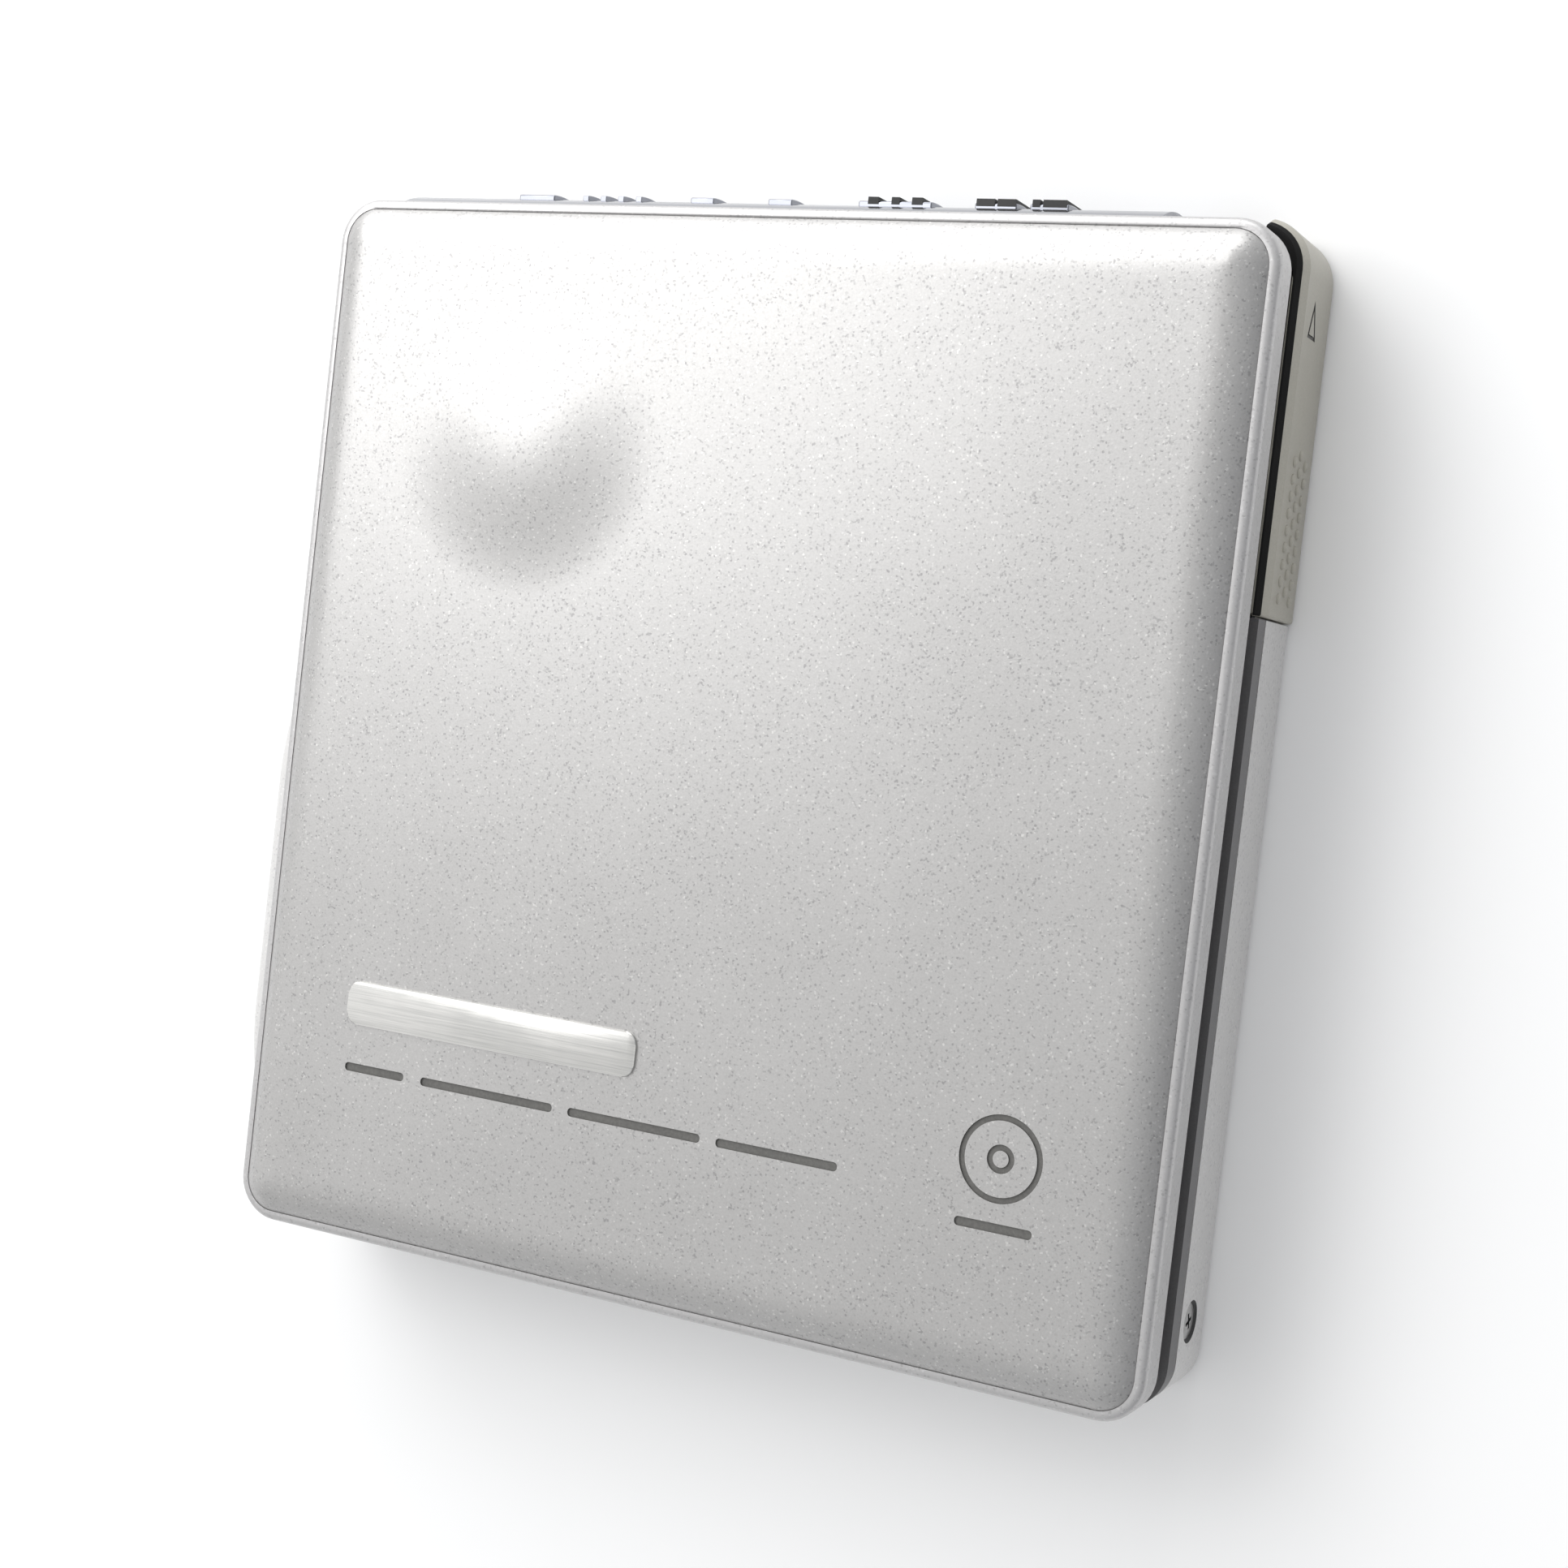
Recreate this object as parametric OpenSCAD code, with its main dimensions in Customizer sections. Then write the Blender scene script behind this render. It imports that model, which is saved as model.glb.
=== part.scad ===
// Portable disc player lying on its back. X runs to the latch side, Y to the key side, Z out of the lid.
// The origin is on the underside, on the spindle axis. Sizes are in millimetres.

/* [Cartridge] */
// Cartridge length from the slot mouth to the hinge side
cart_depth = 68; // [67:0.5:69]
// Cartridge width along the hinge
cart_width = 72; // [71:0.5:73]
// Cartridge thickness
cart_thick = 5; // [4.8:0.1:5.4]
// Play on each side of the cartridge
cart_fit = 0.15; // [0.1:0.05:0.25]
// Play above the cartridge
slot_play = 0.2; // [0.15:0.05:0.4]

/* [Holder] */
// Sheet thickness of the holder
sheet_t = 0.25; // [0.2:0.05:0.35]
// Width of the flanges under the cartridge
flange_w = 2.4; // [1.6:0.2:3]
// How far the holder runs past the cartridge at the mouth
mouth_over = 0.2; // [0.1:0.05:0.3]
// Radius of the round window in the holder's top
window_r = 13; // [8:1:18]
// Length of the long slots in the holder's top
tongue_len = 24; // [14:1:30]
// Width of the long slots
tongue_slot = 1.2; // [0.8:0.2:2]
// Distance of the long slots from the middle
tongue_y = 24; // [20:1:28]

/* [Battery] */
// Cell length
batt_length = 67; // [64:0.5:67.5]
// Cell width
batt_width = 17; // [15:0.5:17.5]
// Cell thickness
batt_thick = 6.1; // [5.6:0.1:6.6]
// Radius of the cell's long edges
batt_round = 1.2; // [0.6:0.1:2]
// Head room over the cell
batt_room = 0.15; // [0.1:0.05:0.4]
// Space between the cell and the case side
batt_side = 0.6; // [0.4:0.1:0.8]
// Space between the cell and the battery door
batt_end = 0.9; // [0.8:0.1:1.2]
// Radius of the cell's end button
batt_tip_r = 1.6; // [1:0.1:2.4]
// Height of the cell's end button
batt_tip_h = 0.5; // [0.3:0.1:0.8]
// Thickness of the contact sheets
contact_t = 0.3; // [0.2:0.05:0.4]
// Width of the contact sheets
contact_w = 8; // [5:0.5:10]
// Height of the contact sheets
contact_h = 3; // [2:0.2:4]
// Radius of the contact's pressed boss
contact_boss_r = 1.2; // [0.8:0.1:1.4]
// Gap between the door's contact and the cell
contact_gap = 0.15; // [0.1:0.05:0.25]

/* [Case] */
// Wall thickness of the case
case_wall = 1; // [0.95:0.05:1.2]
// Floor thickness of the case
floor_t = 0.6; // [0.6:0.1:1]
// Corner radius of the plan outline
corner_r = 3.2; // [3.1:0.1:3.8]
// Radius of the rounded foot edge
foot_r = 0.8; // [0.4:0.1:0.8]
// Thickness of the shelf that carries the deck
shelf_t = 0.7; // [0.6:0.1:0.9]
// Reach of the shelf from the outside
shelf_w = 2.2; // [2:0.1:2.4]
// Wall thickness of the shoulder ring
trim_wall = 0.75; // [0.6:0.05:0.8]
// Height of the shoulder ring
shoulder_h = 1.8; // [1.6:0.1:2.2]
// Height of the dark gap under the lid
shadow_gap = 2.2; // [2:0.1:2.6]
// Depth of the parting groove under the shoulder
groove_d = 0.15; // [0.1:0.05:0.2]
// Height of the parting groove
groove_h = 0.2; // [0.1:0.05:0.3]

/* [Deck] */
// Thickness of the deck plate
deck_t = 0.3; // [0.3:0.05:0.5]
// Gap between the deck and the holder
deck_gap = 0.15; // [0.1:0.05:0.3]
// Gap between the dust wall and the shoulder ring
deck_fit = 0.05; // [0.02:0.01:0.08]
// Thickness of the dust wall
dust_t = 0.6; // [0.5:0.05:0.65]
// Gap between the dust wall and the lid
dust_drop = 0.3; // [0.2:0.05:0.5]
// Radius of the opening round the turntable
table_hole_r = 8; // [7.4:0.1:9]
// Width of the opening over the pickup
pickup_gap_w = 17; // [14:0.5:20]
// Length of the opening over the pickup, from the spindle
pickup_gap_l = 34.5; // [33:0.5:35]
// Radius of the deck's posts
post_r = 1.8; // [1.5:0.1:2.2]
// Distance of the lower post from the latch side
post_side = 6.5; // [5.5:0.5:8]
// Distance of the lower post from the battery door side
post_low = 6; // [5:0.5:8]
// Distance of the upper posts from the key side
post_top = 5.8; // [5.8:0.1:6.5]
// Position of the upper post near the battery
post_left_x = -12.5; // [-13.5:0.5:-8]
// Position of the upper post near the jack
post_right_x = 20; // [16:0.5:23]

/* [Lid] */
// Wall thickness of the lid rim
rim_wall = 1.3; // [1.2:0.05:1.4]
// Gap between the rim and the holder, along X
rim_gap_x = 0.3; // [0.25:0.05:0.5]
// Gap between the rim and the holder, along Y
rim_gap_y = 0.8; // [0.5:0.1:1.2]
// Visible width of the rim beside the panel
rim_lip = 0.75; // [0.7:0.05:0.9]
// Radius of the rim's upper edge
bead_r = 0.6; // [0.3:0.05:0.7]
// Gap between the panel and the rim
panel_fit = 0.05; // [0.02:0.01:0.08]
// Sheet thickness of the panel
panel_t = 0.5; // [0.4:0.05:0.6]
// Gap between the panel and the holder
panel_gap = 0.3; // [0.25:0.05:0.5]
// Height of the pillow over the rim
pillow_h = 1.15; // [0.9:0.05:1.3]
// Depth of the panel's skirt inside the rim
skirt_d = 0.65; // [0.4:0.05:0.8]
// Dome position along X
dome_x = -16.5; // [-20:0.5:-12]
// Dome position along Y
dome_y = 21; // [17:0.5:24]
// Dome radius
dome_r = 10.2; // [7:0.2:12]
// Dome height
dome_h = 0.9; // [0.3:0.05:1]

/* [Hinge] */
// Distance of the hinge axis in from the outside
hinge_in = -0.3; // [-0.35:0.05:-0.2]
// Depth of the hinge axis under the lid rim
hinge_drop = 0.45; // [0.4:0.05:0.55]
// Radius of the hinge pin
hinge_pin_r = 0.4; // [0.3:0.05:0.45]
// Radius of the knuckles
knuckle_r = 0.8; // [0.7:0.05:0.85]
// Radial clearance of a pin in its bore
pin_fit = 0.05; // [0.03:0.01:0.08]
// Radius of the fixed hinge barrel
barrel_r = 1.7; // [1.4:0.05:1.7]
// Length of the fixed hinge barrel
barrel_len = 28; // [20:0.4:29.2]
// Middle of the fixed hinge barrel
barrel_y = -14.1; // [-14.5:0.1:-8]
// Length of the barrel's rounded ends
barrel_taper = 5.2; // [2:0.2:6]
// Radius of the barrel's tips
barrel_tip_r = 1.25; // [0.9:0.05:1.35]
// Gap between neighbouring knuckles
knuckle_gap = 0.3; // [0.2:0.05:0.5]
// Length of each holder knuckle
holder_knuckle = 3.4; // [2:0.2:4]
// Length of each lid knuckle
lid_knuckle = 2.8; // [2:0.2:3.4]
// Clearance round the turning knuckles
turn_gap = 0.3; // [0.25:0.05:0.35]
// Thickness of the holder's hinge arms
arm_t = 0.6; // [0.4:0.1:0.7]

/* [Latch] */
// How far the lever stands out of the side
lever_proud = 0.2; // [0.1:0.05:0.4]
// Depth of the lever's inner face
lever_in = 0.65; // [0.6:0.01:0.65]
// Gap between the lever and its recess
lever_fit = 0.15; // [0.12:0.01:0.18]
// Length of the lever from the key side
lever_len = 24.6; // [20:0.2:28]
// How far the lever wraps round the corner
lever_wrap = 2.7; // [2.3:0.1:2.9]
// How far the lever's end stands out past the key side
lever_end = 1; // [0.6:0.1:1.2]
// Height of the ramp along the lever's upper edge
lever_ramp_h = 1.4; // [0.8:0.1:1.6]
// How far in the ramp leans
lever_ramp_in = 0.45; // [0.2:0.05:0.5]
// Height of the lever's lower edge over the table
lever_lift = 0.3; // [0.2:0.05:0.6]
// Depth of the lever's upper edge under the shoulder
lever_drop = 0.05; // [0.02:0.01:0.3]
// Sliding travel of the lever
lever_travel = 2.5; // [2:0.1:2.8]
// Distance of the latch hook from the key side
hook_from_key = 16.5; // [14.5:0.5:20.5]
// Width of the latch hook
hook_w = 3; // [2:0.2:3.4]
// Sheet thickness of the latch hook
hook_t = 0.5; // [0.35:0.05:0.5]
// Length of the hook's nose
hook_nose = 0.8; // [0.4:0.1:1.2]
// How far the hook reaches into the lid
hook_reach = 0.95; // [0.6:0.05:1.1]
// Height of the pocket in the rim
pocket_h = 1.45; // [1.3:0.05:1.55]
// Width of the catch in the rim
catch_w = 1.5; // [1:0.1:2.2]
// Gap between hook and catch
catch_gap = 0.3; // [0.2:0.05:0.5]
// Distance of the spring tab from the key side
tab_from_key = 10.5; // [10.1:0.1:10.9]
// Thickness of the spring tab
tab_t = 1; // [0.8:0.1:1.2]
// Height of the spring tab
tab_h = 1.6; // [1.2:0.1:1.8]
// Depth of the spring tab from the side
tab_in = 2.6; // [2.4:0.1:2.7]
// Height of the spring axis
spring_z = 4; // [3.6:0.1:4.2]
// Depth of the spring axis from the side
spring_in = 1.85; // [1.8:0.05:1.9]
// Coil radius of the spring
spring_r = 0.6; // [0.4:0.05:0.65]
// Wire radius of the spring
wire_r = 0.12; // [0.1:0.01:0.14]
// Length of the spring
spring_len = 4.6; // [4.2:0.1:4.8]
// Number of coils
coils = 5; // [4:1:6]
// Height and depth room round the spring
spring_room = 0.9; // [0.85:0.05:1]

/* [Keys] */
// How far the strip stands out of the case
strip_proud = 1.6; // [1.4:0.1:2]
// Thickness of the strip at its long edges
strip_edge = 0.2; // [0.1:0.05:0.4]
// Height of the strip
strip_h = 9; // [8:0.1:9.2]
// Height of the strip's lower edge over the table
strip_lift = 0.6; // [0.5:0.1:0.8]
// Distance of the strip from the hinge side
strip_left_in = 2.8; // [2.6:0.1:6]
// Distance of the strip from the lever side
strip_right_in = 9.4; // [9.2:0.1:11]
// Height of the key caps
key_h = 3; // [2.4:0.1:3.6]
// How far the caps stand out of the strip
key_proud = 0.35; // [0.2:0.05:0.6]
// Gap round the caps and stems
key_fit = 0.12; // [0.1:0.01:0.15]
// Gap behind the caps
key_back = 0.42; // [0.4:0.01:0.5]
// Key travel
key_travel = 0.3; // [0.2:0.05:0.35]
// How much narrower the stem is on each side
stem_in = 0.6; // [0.4:0.05:0.8]
// Height of the stems
stem_h = 1.5; // [1:0.1:1.8]
// How far the stems sit under the middle of the caps
stem_drop = 0.5; // [0.4:0.1:0.8]
// Overlap of the flange behind the wall
flange_lap = 0.4; // [0.3:0.05:0.4]
// Thickness of the flange
flange_t = 0.5; // [0.3:0.05:0.6]
// Mode key: distance of its middle from the strip's lever end
mode_from_end = 49.5; // [49.1:0.1:50.6]
// Mode key width
mode_w = 3.1; // [2.4:0.1:3.4]
// Hold slide: distance of its middle from the strip's lever end
hold_from_end = 43; // [42.6:0.1:43.6]
// Hold slider width
hold_w = 6; // [4:0.2:6.4]
// Hold slider travel
hold_travel = 2; // [1:0.1:2.2]
// Number of ribs on the hold slider
hold_ribs = 4; // [3:1:5]
// Width of the ribs
rib_w = 0.5; // [0.3:0.05:0.6]
// Width of the hold slider's stem
hold_stem = 2; // [1.6:0.1:2.4]
// Volume rocker: distance of its middle from the strip's lever end
volume_from_end = 32.3; // [31.6:0.1:32.6]
// Volume rocker width
volume_w = 8.2; // [6:0.2:8.6]
// Depth of the rocker's hollow middle
volume_dip = 0.5; // [0.2:0.05:0.6]
// Width of the rocker's raised ends
volume_end = 1.9; // [1.2:0.1:2.4]
// Pivot radius of the rocker
rock_pin_r = 0.4; // [0.3:0.05:0.45]
// Pivot length past the rocker on each side
rock_pin_len = 0.6; // [0.4:0.1:0.8]
// Pivot distance from the case wall
rock_pin_out = 0.75; // [0.7:0.05:0.8]
// Stem distance from the rocker's middle
rock_stem_x = 2.6; // [2:0.1:3]
// Stem width of the rocker
rock_stem_w = 1; // [0.8:0.1:1.2]
// Extra room for the tilting rocker
rock_fit = 0.28; // [0.25:0.01:0.32]
// Play key: distance of its middle from the strip's lever end
play_from_end = 20.2; // [19.6:0.1:20.6]
// Play key width
play_w = 5.6; // [4:0.2:6.4]
// Back key: distance of its middle from the strip's lever end
back_from_end = 12.65; // [12.6:0.05:13]
// Back key width
back_w = 3.1; // [2.4:0.1:3.2]
// Forward key: distance of its middle from the strip's lever end
forward_from_end = 8.75; // [8.2:0.05:8.8]
// Forward key width
forward_w = 2.8; // [2.4:0.1:3]

/* [Boards] */
// Board thickness
board_t = 0.8; // [0.6:0.1:1]
// Height of board and chassis over the floor
board_lift = 0.8; // [0.7:0.1:1]
// Distance of the board from the latch side
board_side = 3.5; // [3.4:0.1:5]
// Distance of the board from the key side
board_top = 4.2; // [4.1:0.1:6]
// Left edge of the board's right arm
board_arm_x = 19.2; // [19:0.1:20]
// Lower edge of the board's upper arm
board_arm_y = 12.2; // [12:0.1:13]
// Lower end of the board
board_low_y = -27.5; // [-28:0.5:-24]
// Radius of the board's supports
stud_r = 1.2; // [0.8:0.1:1.4]
// Gap round the posts and the jack
board_gap = 0.3; // [0.2:0.05:0.5]
// Thickness of the key board
key_board_t = 0.6; // [0.4:0.1:0.8]
// Distance of the key board from the inner case wall
key_board_in = 1.7; // [1.6:0.1:1.8]
// Height of the key board
key_board_h = 5.2; // [4.6:0.1:5.4]
// Overhang of the key board past the outer keys
key_board_over = 2; // [1.5:0.5:3]
// Width of each switch
switch_w = 2; // [1.2:0.1:2.2]
// Height of each switch
switch_h = 1.6; // [1.2:0.1:2]
// Gap left when a key is pressed home
switch_gap = 0.05; // [0.02:0.01:0.1]
// Side of the largest chip
chip_big = 10.5; // [8:0.5:12]
// Side of the middle chips
chip_mid = 7; // [5:0.5:8]
// Side of the small chips
chip_small = 4; // [3:0.5:5]
// Chip thickness
chip_t = 1.2; // [0.8:0.1:2]
// Coil radius on the board
coil_r = 2.4; // [1.6:0.1:3]
// Coil height on the board
coil_h = 2.6; // [2:0.1:3.4]

/* [Jack] */
// Distance of the socket's axis from the lever side
jack_side = 6.4; // [6.2:0.05:6.5]
// Side of the jack's square body
jack_w = 5.4; // [5:0.1:5.4]
// Length of the jack's body
jack_len = 12.5; // [11:0.5:14]
// Radius of the jack's collar
jack_collar_r = 2.3; // [2.2:0.05:2.5]
// How far the collar stands out of the case
jack_out = 0.7; // [0.4:0.1:1]
// Bore radius of the jack
jack_bore_r = 1.8; // [1.75:0.01:1.85]
// Thickness of the jack's closed end
jack_end = 1.2; // [0.8:0.1:2]

/* [Screws] */
// Head radius of the side screws
side_head_r = 1.45; // [1.2:0.05:1.6]
// Shank radius of the side screws
side_shank_r = 0.7; // [0.5:0.05:0.8]
// Depth of the side screws' cone
side_cone = 0.6; // [0.4:0.05:0.7]
// Height of the side screws
side_screw_z = 3.9; // [3.8:0.1:4.1]
// Distance of the lever side's screw from the door side
side_right_low = 5.6; // [5.1:0.1:8.5]
// Distance of the hinge side's screw from the key side
side_left_top = 4.3; // [3.9:0.1:4.4]
// Distance of the door side's screw from the lever side
side_low_in = 11; // [9:0.1:11.5]
// Thickness of the screwed tabs
tab_wall = 1.2; // [1:0.05:1.2]
// Half width of the screwed tabs
tab_half = 1.8; // [1.6:0.1:2]
// Head radius of the base screws
base_head_r = 1.3; // [1:0.05:1.4]
// Head height of the base screws
base_head_t = 0.6; // [0.4:0.05:0.7]
// Depth of the base screws' heads under the table face
base_sink = 0.25; // [0.1:0.05:0.3]
// Shank radius of the base screws
base_shank_r = 0.65; // [0.5:0.05:0.8]
// Shank length in the posts
base_bite = 3; // [2:0.2:4]
// Extra radius of the floor boss round a base screw
base_boss = 1; // [0.6:0.1:1.2]

/* [Drive] */
// Chassis thickness
chassis_t = 0.8; // [0.6:0.1:1]
// Right edge of the chassis
chassis_right = 18.4; // [18.2:0.1:18.6]
// Upper edge of the chassis
chassis_top = 11.4; // [11:0.1:11.6]
// Distance of the chassis from the battery door side
chassis_low = 1.9; // [1.7:0.1:1.9]
// Length of the chassis tab beside the lead screw
chassis_tab = 4.4; // [4:0.1:4.6]
// Width of the chassis tab
chassis_tab_w = 6; // [5:0.2:7]
// Radius of the dampers
damper_r = 1.8; // [1.5:0.1:2]
// Waist radius of the dampers in the chassis
damper_waist = 1.2; // [1.05:0.05:1.3]
// Thickness of the dampers' upper flange
damper_t = 0.6; // [0.4:0.1:0.8]
// Radius of the floor pin in a damper
damper_pin_r = 0.75; // [0.65:0.05:0.8]
// Head radius of the chassis screws
chassis_head_r = 1.5; // [1.2:0.1:1.8]
// Head height of the chassis screws
chassis_head_t = 0.5; // [0.3:0.05:0.6]
// Shank radius of the chassis screws
chassis_shank_r = 0.4; // [0.3:0.05:0.45]
// Damper distance from the chassis edges
damper_in = 2.5; // [2.2:0.1:2.6]
// Spindle motor radius
motor_r = 9; // [8:0.1:9.2]
// Spindle motor height
motor_h = 3; // [2.4:0.1:3.1]
// Spindle shaft radius
spindle_r = 0.6; // [0.4:0.05:0.8]
// Gap between motor and turntable
table_gap = 0.3; // [0.2:0.05:0.4]
// Turntable radius
table_r = 6.4; // [5:0.1:7]
// Turntable thickness
table_t = 1; // [0.8:0.1:1.2]
// Radius of the turntable's magnet
magnet_r = 4.6; // [4:0.1:4.8]
// Height of the turntable's magnet
magnet_h = 0.8; // [0.5:0.1:1]
// Radius of the turntable's hub
hub_r = 2; // [1.6:0.1:2.4]
// Height of the turntable's hub over the table
hub_h = 1.8; // [1.4:0.1:1.9]
// Lens distance from the spindle at rest
lens_y = 14.7; // [14.5:0.1:15]
// Sled travel
sled_travel = 15.4; // [13:0.1:15.5]
// Sled reach from the lens to the spindle
sled_near = 4.1; // [3.6:0.1:4.2]
// Sled reach from the lens to the outside
sled_far = 5; // [4:0.1:5.1]
// Half width of the sled's block
sled_half = 8.8; // [8:0.1:8.9]
// Height of the sled over the chassis
sled_lift = 0.4; // [0.3:0.05:0.6]
// Height of the sled's block
sled_h = 3.7; // [3:0.1:3.8]
// Side of the lens holder
lens_side = 6; // [5:0.2:7]
// Height of the lens holder
lens_h = 0.55; // [0.4:0.05:0.6]
// Lens radius
lens_r = 1.9; // [1.4:0.1:2.2]
// Lens height over its holder
lens_bulge = 0.4; // [0.2:0.05:0.45]
// Height of rails and lead screw over the chassis
rail_z = 2; // [1.9:0.05:2.1]
// Main rail radius
main_rail_r = 0.75; // [0.6:0.05:0.8]
// Main rail position
main_rail_x = 10.6; // [10.4:0.05:10.7]
// Sub rail radius
sub_rail_r = 0.6; // [0.5:0.05:0.7]
// Sub rail position
sub_rail_x = -11; // [-11.2:0.05:-10.8]
// Gap between the sled's fork and the sub rail
fork_gap = 0.1; // [0.08:0.01:0.2]
// Half width of the rail posts and sled bushes
bush_half = 1.4; // [1.3:0.05:1.45]
// Half height of the sled bushes
bush_h = 1.5; // [1.3:0.05:1.6]
// Thickness of the rail posts
rail_post_t = 1.1; // [0.8:0.05:1.1]
// Gap between the sled and the inner posts
post_gap = 0.4; // [0.3:0.05:0.5]
// Height of the rail posts over the rail axis
rail_post_h = 1.2; // [1:0.05:1.4]
// Lead screw position
screw_x = 14.6; // [14.4:0.05:14.7]
// Lead screw radius
screw_r = 1; // [0.8:0.05:1.1]
// Lead screw journal radius
journal_r = 0.5; // [0.4:0.05:0.6]
// Length of the sled's nut
nut_len = 3; // [2:0.2:4]
// Wall of the sled's nut
nut_wall = 0.6; // [0.5:0.05:0.7]
// Distance from the spindle to the sled motor's face
sled_motor_y = 11.4; // [11:0.1:12]
// Sled motor length
sled_motor_len = 14; // [11:0.5:16]
// Sled motor radius
sled_motor_r = 1.9; // [1.7:0.05:1.95]

/* [Battery door] */
// Gap round the door
door_gap = 0.15; // [0.12:0.01:0.2]
// Distance of the door's pivot from the cell
door_pivot = 1; // [0.9:0.05:1.1]
// Radius of the door's pin
door_pin_r = 0.3; // [0.2:0.02:0.3]
// Cover under and over the door's pin
door_pin_cap = 0.25; // [0.2:0.01:0.3]
// Thickness of the bay's rib beside the cell
bay_rib = 0.8; // [0.6:0.1:0.9]
// Gap between the cell and the bay's ribs
bay_gap = 0.2; // [0.1:0.05:0.3]
// Depth of the finger groove in the door
grip_d = 0.3; // [0.2:0.05:0.4]
// Width of the finger groove
grip_w = 1.2; // [0.8:0.1:1.6]

/* [Hidden] */
$fn = 64;
EPS = 0.01;
FAR = 200;
MID = 0.5;
SILVER = [0.78, 0.78, 0.77];
GREY = [0.55, 0.55, 0.56];
BLACK = [0.08, 0.08, 0.09];
STEEL = [0.66, 0.66, 0.68];
OLIVE = [0.52, 0.52, 0.48];
GREEN = [0.1, 0.3, 0.2];
BRASS = [0.8, 0.68, 0.35];

// Plan sizes built up from the cartridge and the cell outwards
holder_x = cart_depth / 2 + cart_fit + sheet_t;
holder_y = cart_width / 2 + cart_fit + sheet_t;
half_w = holder_x + rim_gap_x + rim_wall;
cell_run = batt_end + batt_length + batt_tip_h + contact_t + bay_rib + board_gap + key_board_t + key_board_in;
half_l = max(holder_y + rim_gap_y + rim_wall, cell_run / 2 + case_wall);
body_w = 2 * half_w;
body_l = 2 * half_l;
mouth_x = cart_depth / 2 + mouth_over;

// Levels built up from the table
deck_z = floor_t + batt_thick + batt_room;
split_z = deck_z - shelf_t;
shoulder_z = split_z + shoulder_h;
lid_z = shoulder_z + shadow_gap;
deck_top = deck_z + deck_t;
holder_z = deck_top + deck_gap;
slot_z = holder_z + sheet_t;
slot_top = slot_z + cart_thick + slot_play;
holder_top = slot_top + sheet_t;
lid_top = holder_top + panel_gap + panel_t;
crease_z = lid_top - pillow_h;
skirt_z = crease_z - skirt_d;
board_z = floor_t + board_lift;
board_top_z = board_z + board_t;
chassis_z = board_z + chassis_t;
dust_top = lid_z - dust_drop;

// Panel curve: an arc that is level at the top and meets the rim at the crease
panel_in = rim_lip + panel_fit;
pillow_w = corner_r - panel_in;
pillow_r = (pillow_w * pillow_w + pillow_h * pillow_h) / (2 * pillow_h);
pillow_zc = lid_top - pillow_r;

// Hinge places
hinge_x = hinge_in - half_w;
hinge_z = lid_z - hinge_drop;
barrel_y0 = barrel_y - barrel_len / 2;
barrel_y1 = barrel_y + barrel_len / 2;
hold_up_y = barrel_y1 + knuckle_gap;
hold_low_y = barrel_y0 - knuckle_gap - holder_knuckle;
lid_up_y = hold_up_y + holder_knuckle + knuckle_gap;
lid_low_y = hold_low_y - knuckle_gap - lid_knuckle;
pin_len = lid_up_y + lid_knuckle - lid_low_y;

// Latch places
lever_low_y = half_l - lever_len;
lever_top = shoulder_z - lever_drop;
recess_in = lever_in + lever_fit;
hook_x = half_w - lever_in - lever_fit - hook_t - deck_fit;
hook_y = half_l - hook_from_key;
hook_z = deck_top + deck_gap;
hook_top = lid_z + hook_reach;
catch_y = hook_y - hook_nose - catch_gap - catch_w;
pocket_end = hook_y + hook_w + lever_travel + turn_gap;
pocket_out = half_w - rim_lip + panel_fit;
tab_y = half_l - tab_from_key;
spring_y = tab_y + tab_t;
spring_end = spring_y + spring_len;

// Strip and key places
strip_sag = strip_proud - strip_edge;
strip_r = (strip_h * strip_h / 4 + strip_sag * strip_sag) / (2 * strip_sag);
strip_yc = half_l + strip_proud - strip_r;
strip_left = strip_left_in - half_w;
strip_right = half_w - strip_right_in;
mode_x = strip_right - mode_from_end;
hold_x = strip_right - hold_from_end;
volume_x = strip_right - volume_from_end;
play_x = strip_right - play_from_end;
back_x = strip_right - back_from_end;
forward_x = strip_right - forward_from_end;
key_z = strip_lift + strip_h / 2;
stem_z = key_z - stem_drop;
inner_l = half_l - case_wall;
cap_y = half_l + key_back;
flange_y = inner_l - flange_t;
key_board_y = inner_l - key_board_in - key_board_t;
switch_top = flange_y - key_travel - switch_gap;
KEYS = [[mode_x, mode_w], [play_x, play_w], [back_x, back_w], [forward_x, forward_w]];

// Battery and door places
batt_x0 = -(half_w - case_wall - batt_side);
batt_x1 = batt_x0 + batt_width;
batt_xc = batt_x0 + batt_width / 2;
batt_zc = floor_t + batt_thick / 2;
batt_y0 = -(inner_l - batt_end);
batt_y1 = batt_y0 + batt_length;
contact_y = batt_y1 + batt_tip_h;
pivot_x = batt_x1 + door_pivot;
pivot_y = -(half_l - case_wall / 2);
knuckle_door = case_wall / 2;
door_x0 = batt_x0 - door_gap;
bay_rib_x = batt_x1 + bay_gap;
board_x0 = bay_rib_x + bay_rib + board_gap;

// Jack, screw and post places
side_right_y = side_right_low - half_l;
side_left_y = half_l - side_left_top;
side_low_x = half_w - side_low_in;
jack_x = half_w - jack_side;
jack_z = floor_t + jack_w / 2;
board_x1 = half_w - board_side;
board_y1 = half_l - board_top;
post_y = half_l - post_top;
POSTS = [[half_w - post_side, post_low - half_l], [post_left_x, post_y], [post_right_x, post_y]];
boss_top = board_z;
base_head_z = base_sink + base_head_t;

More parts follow.
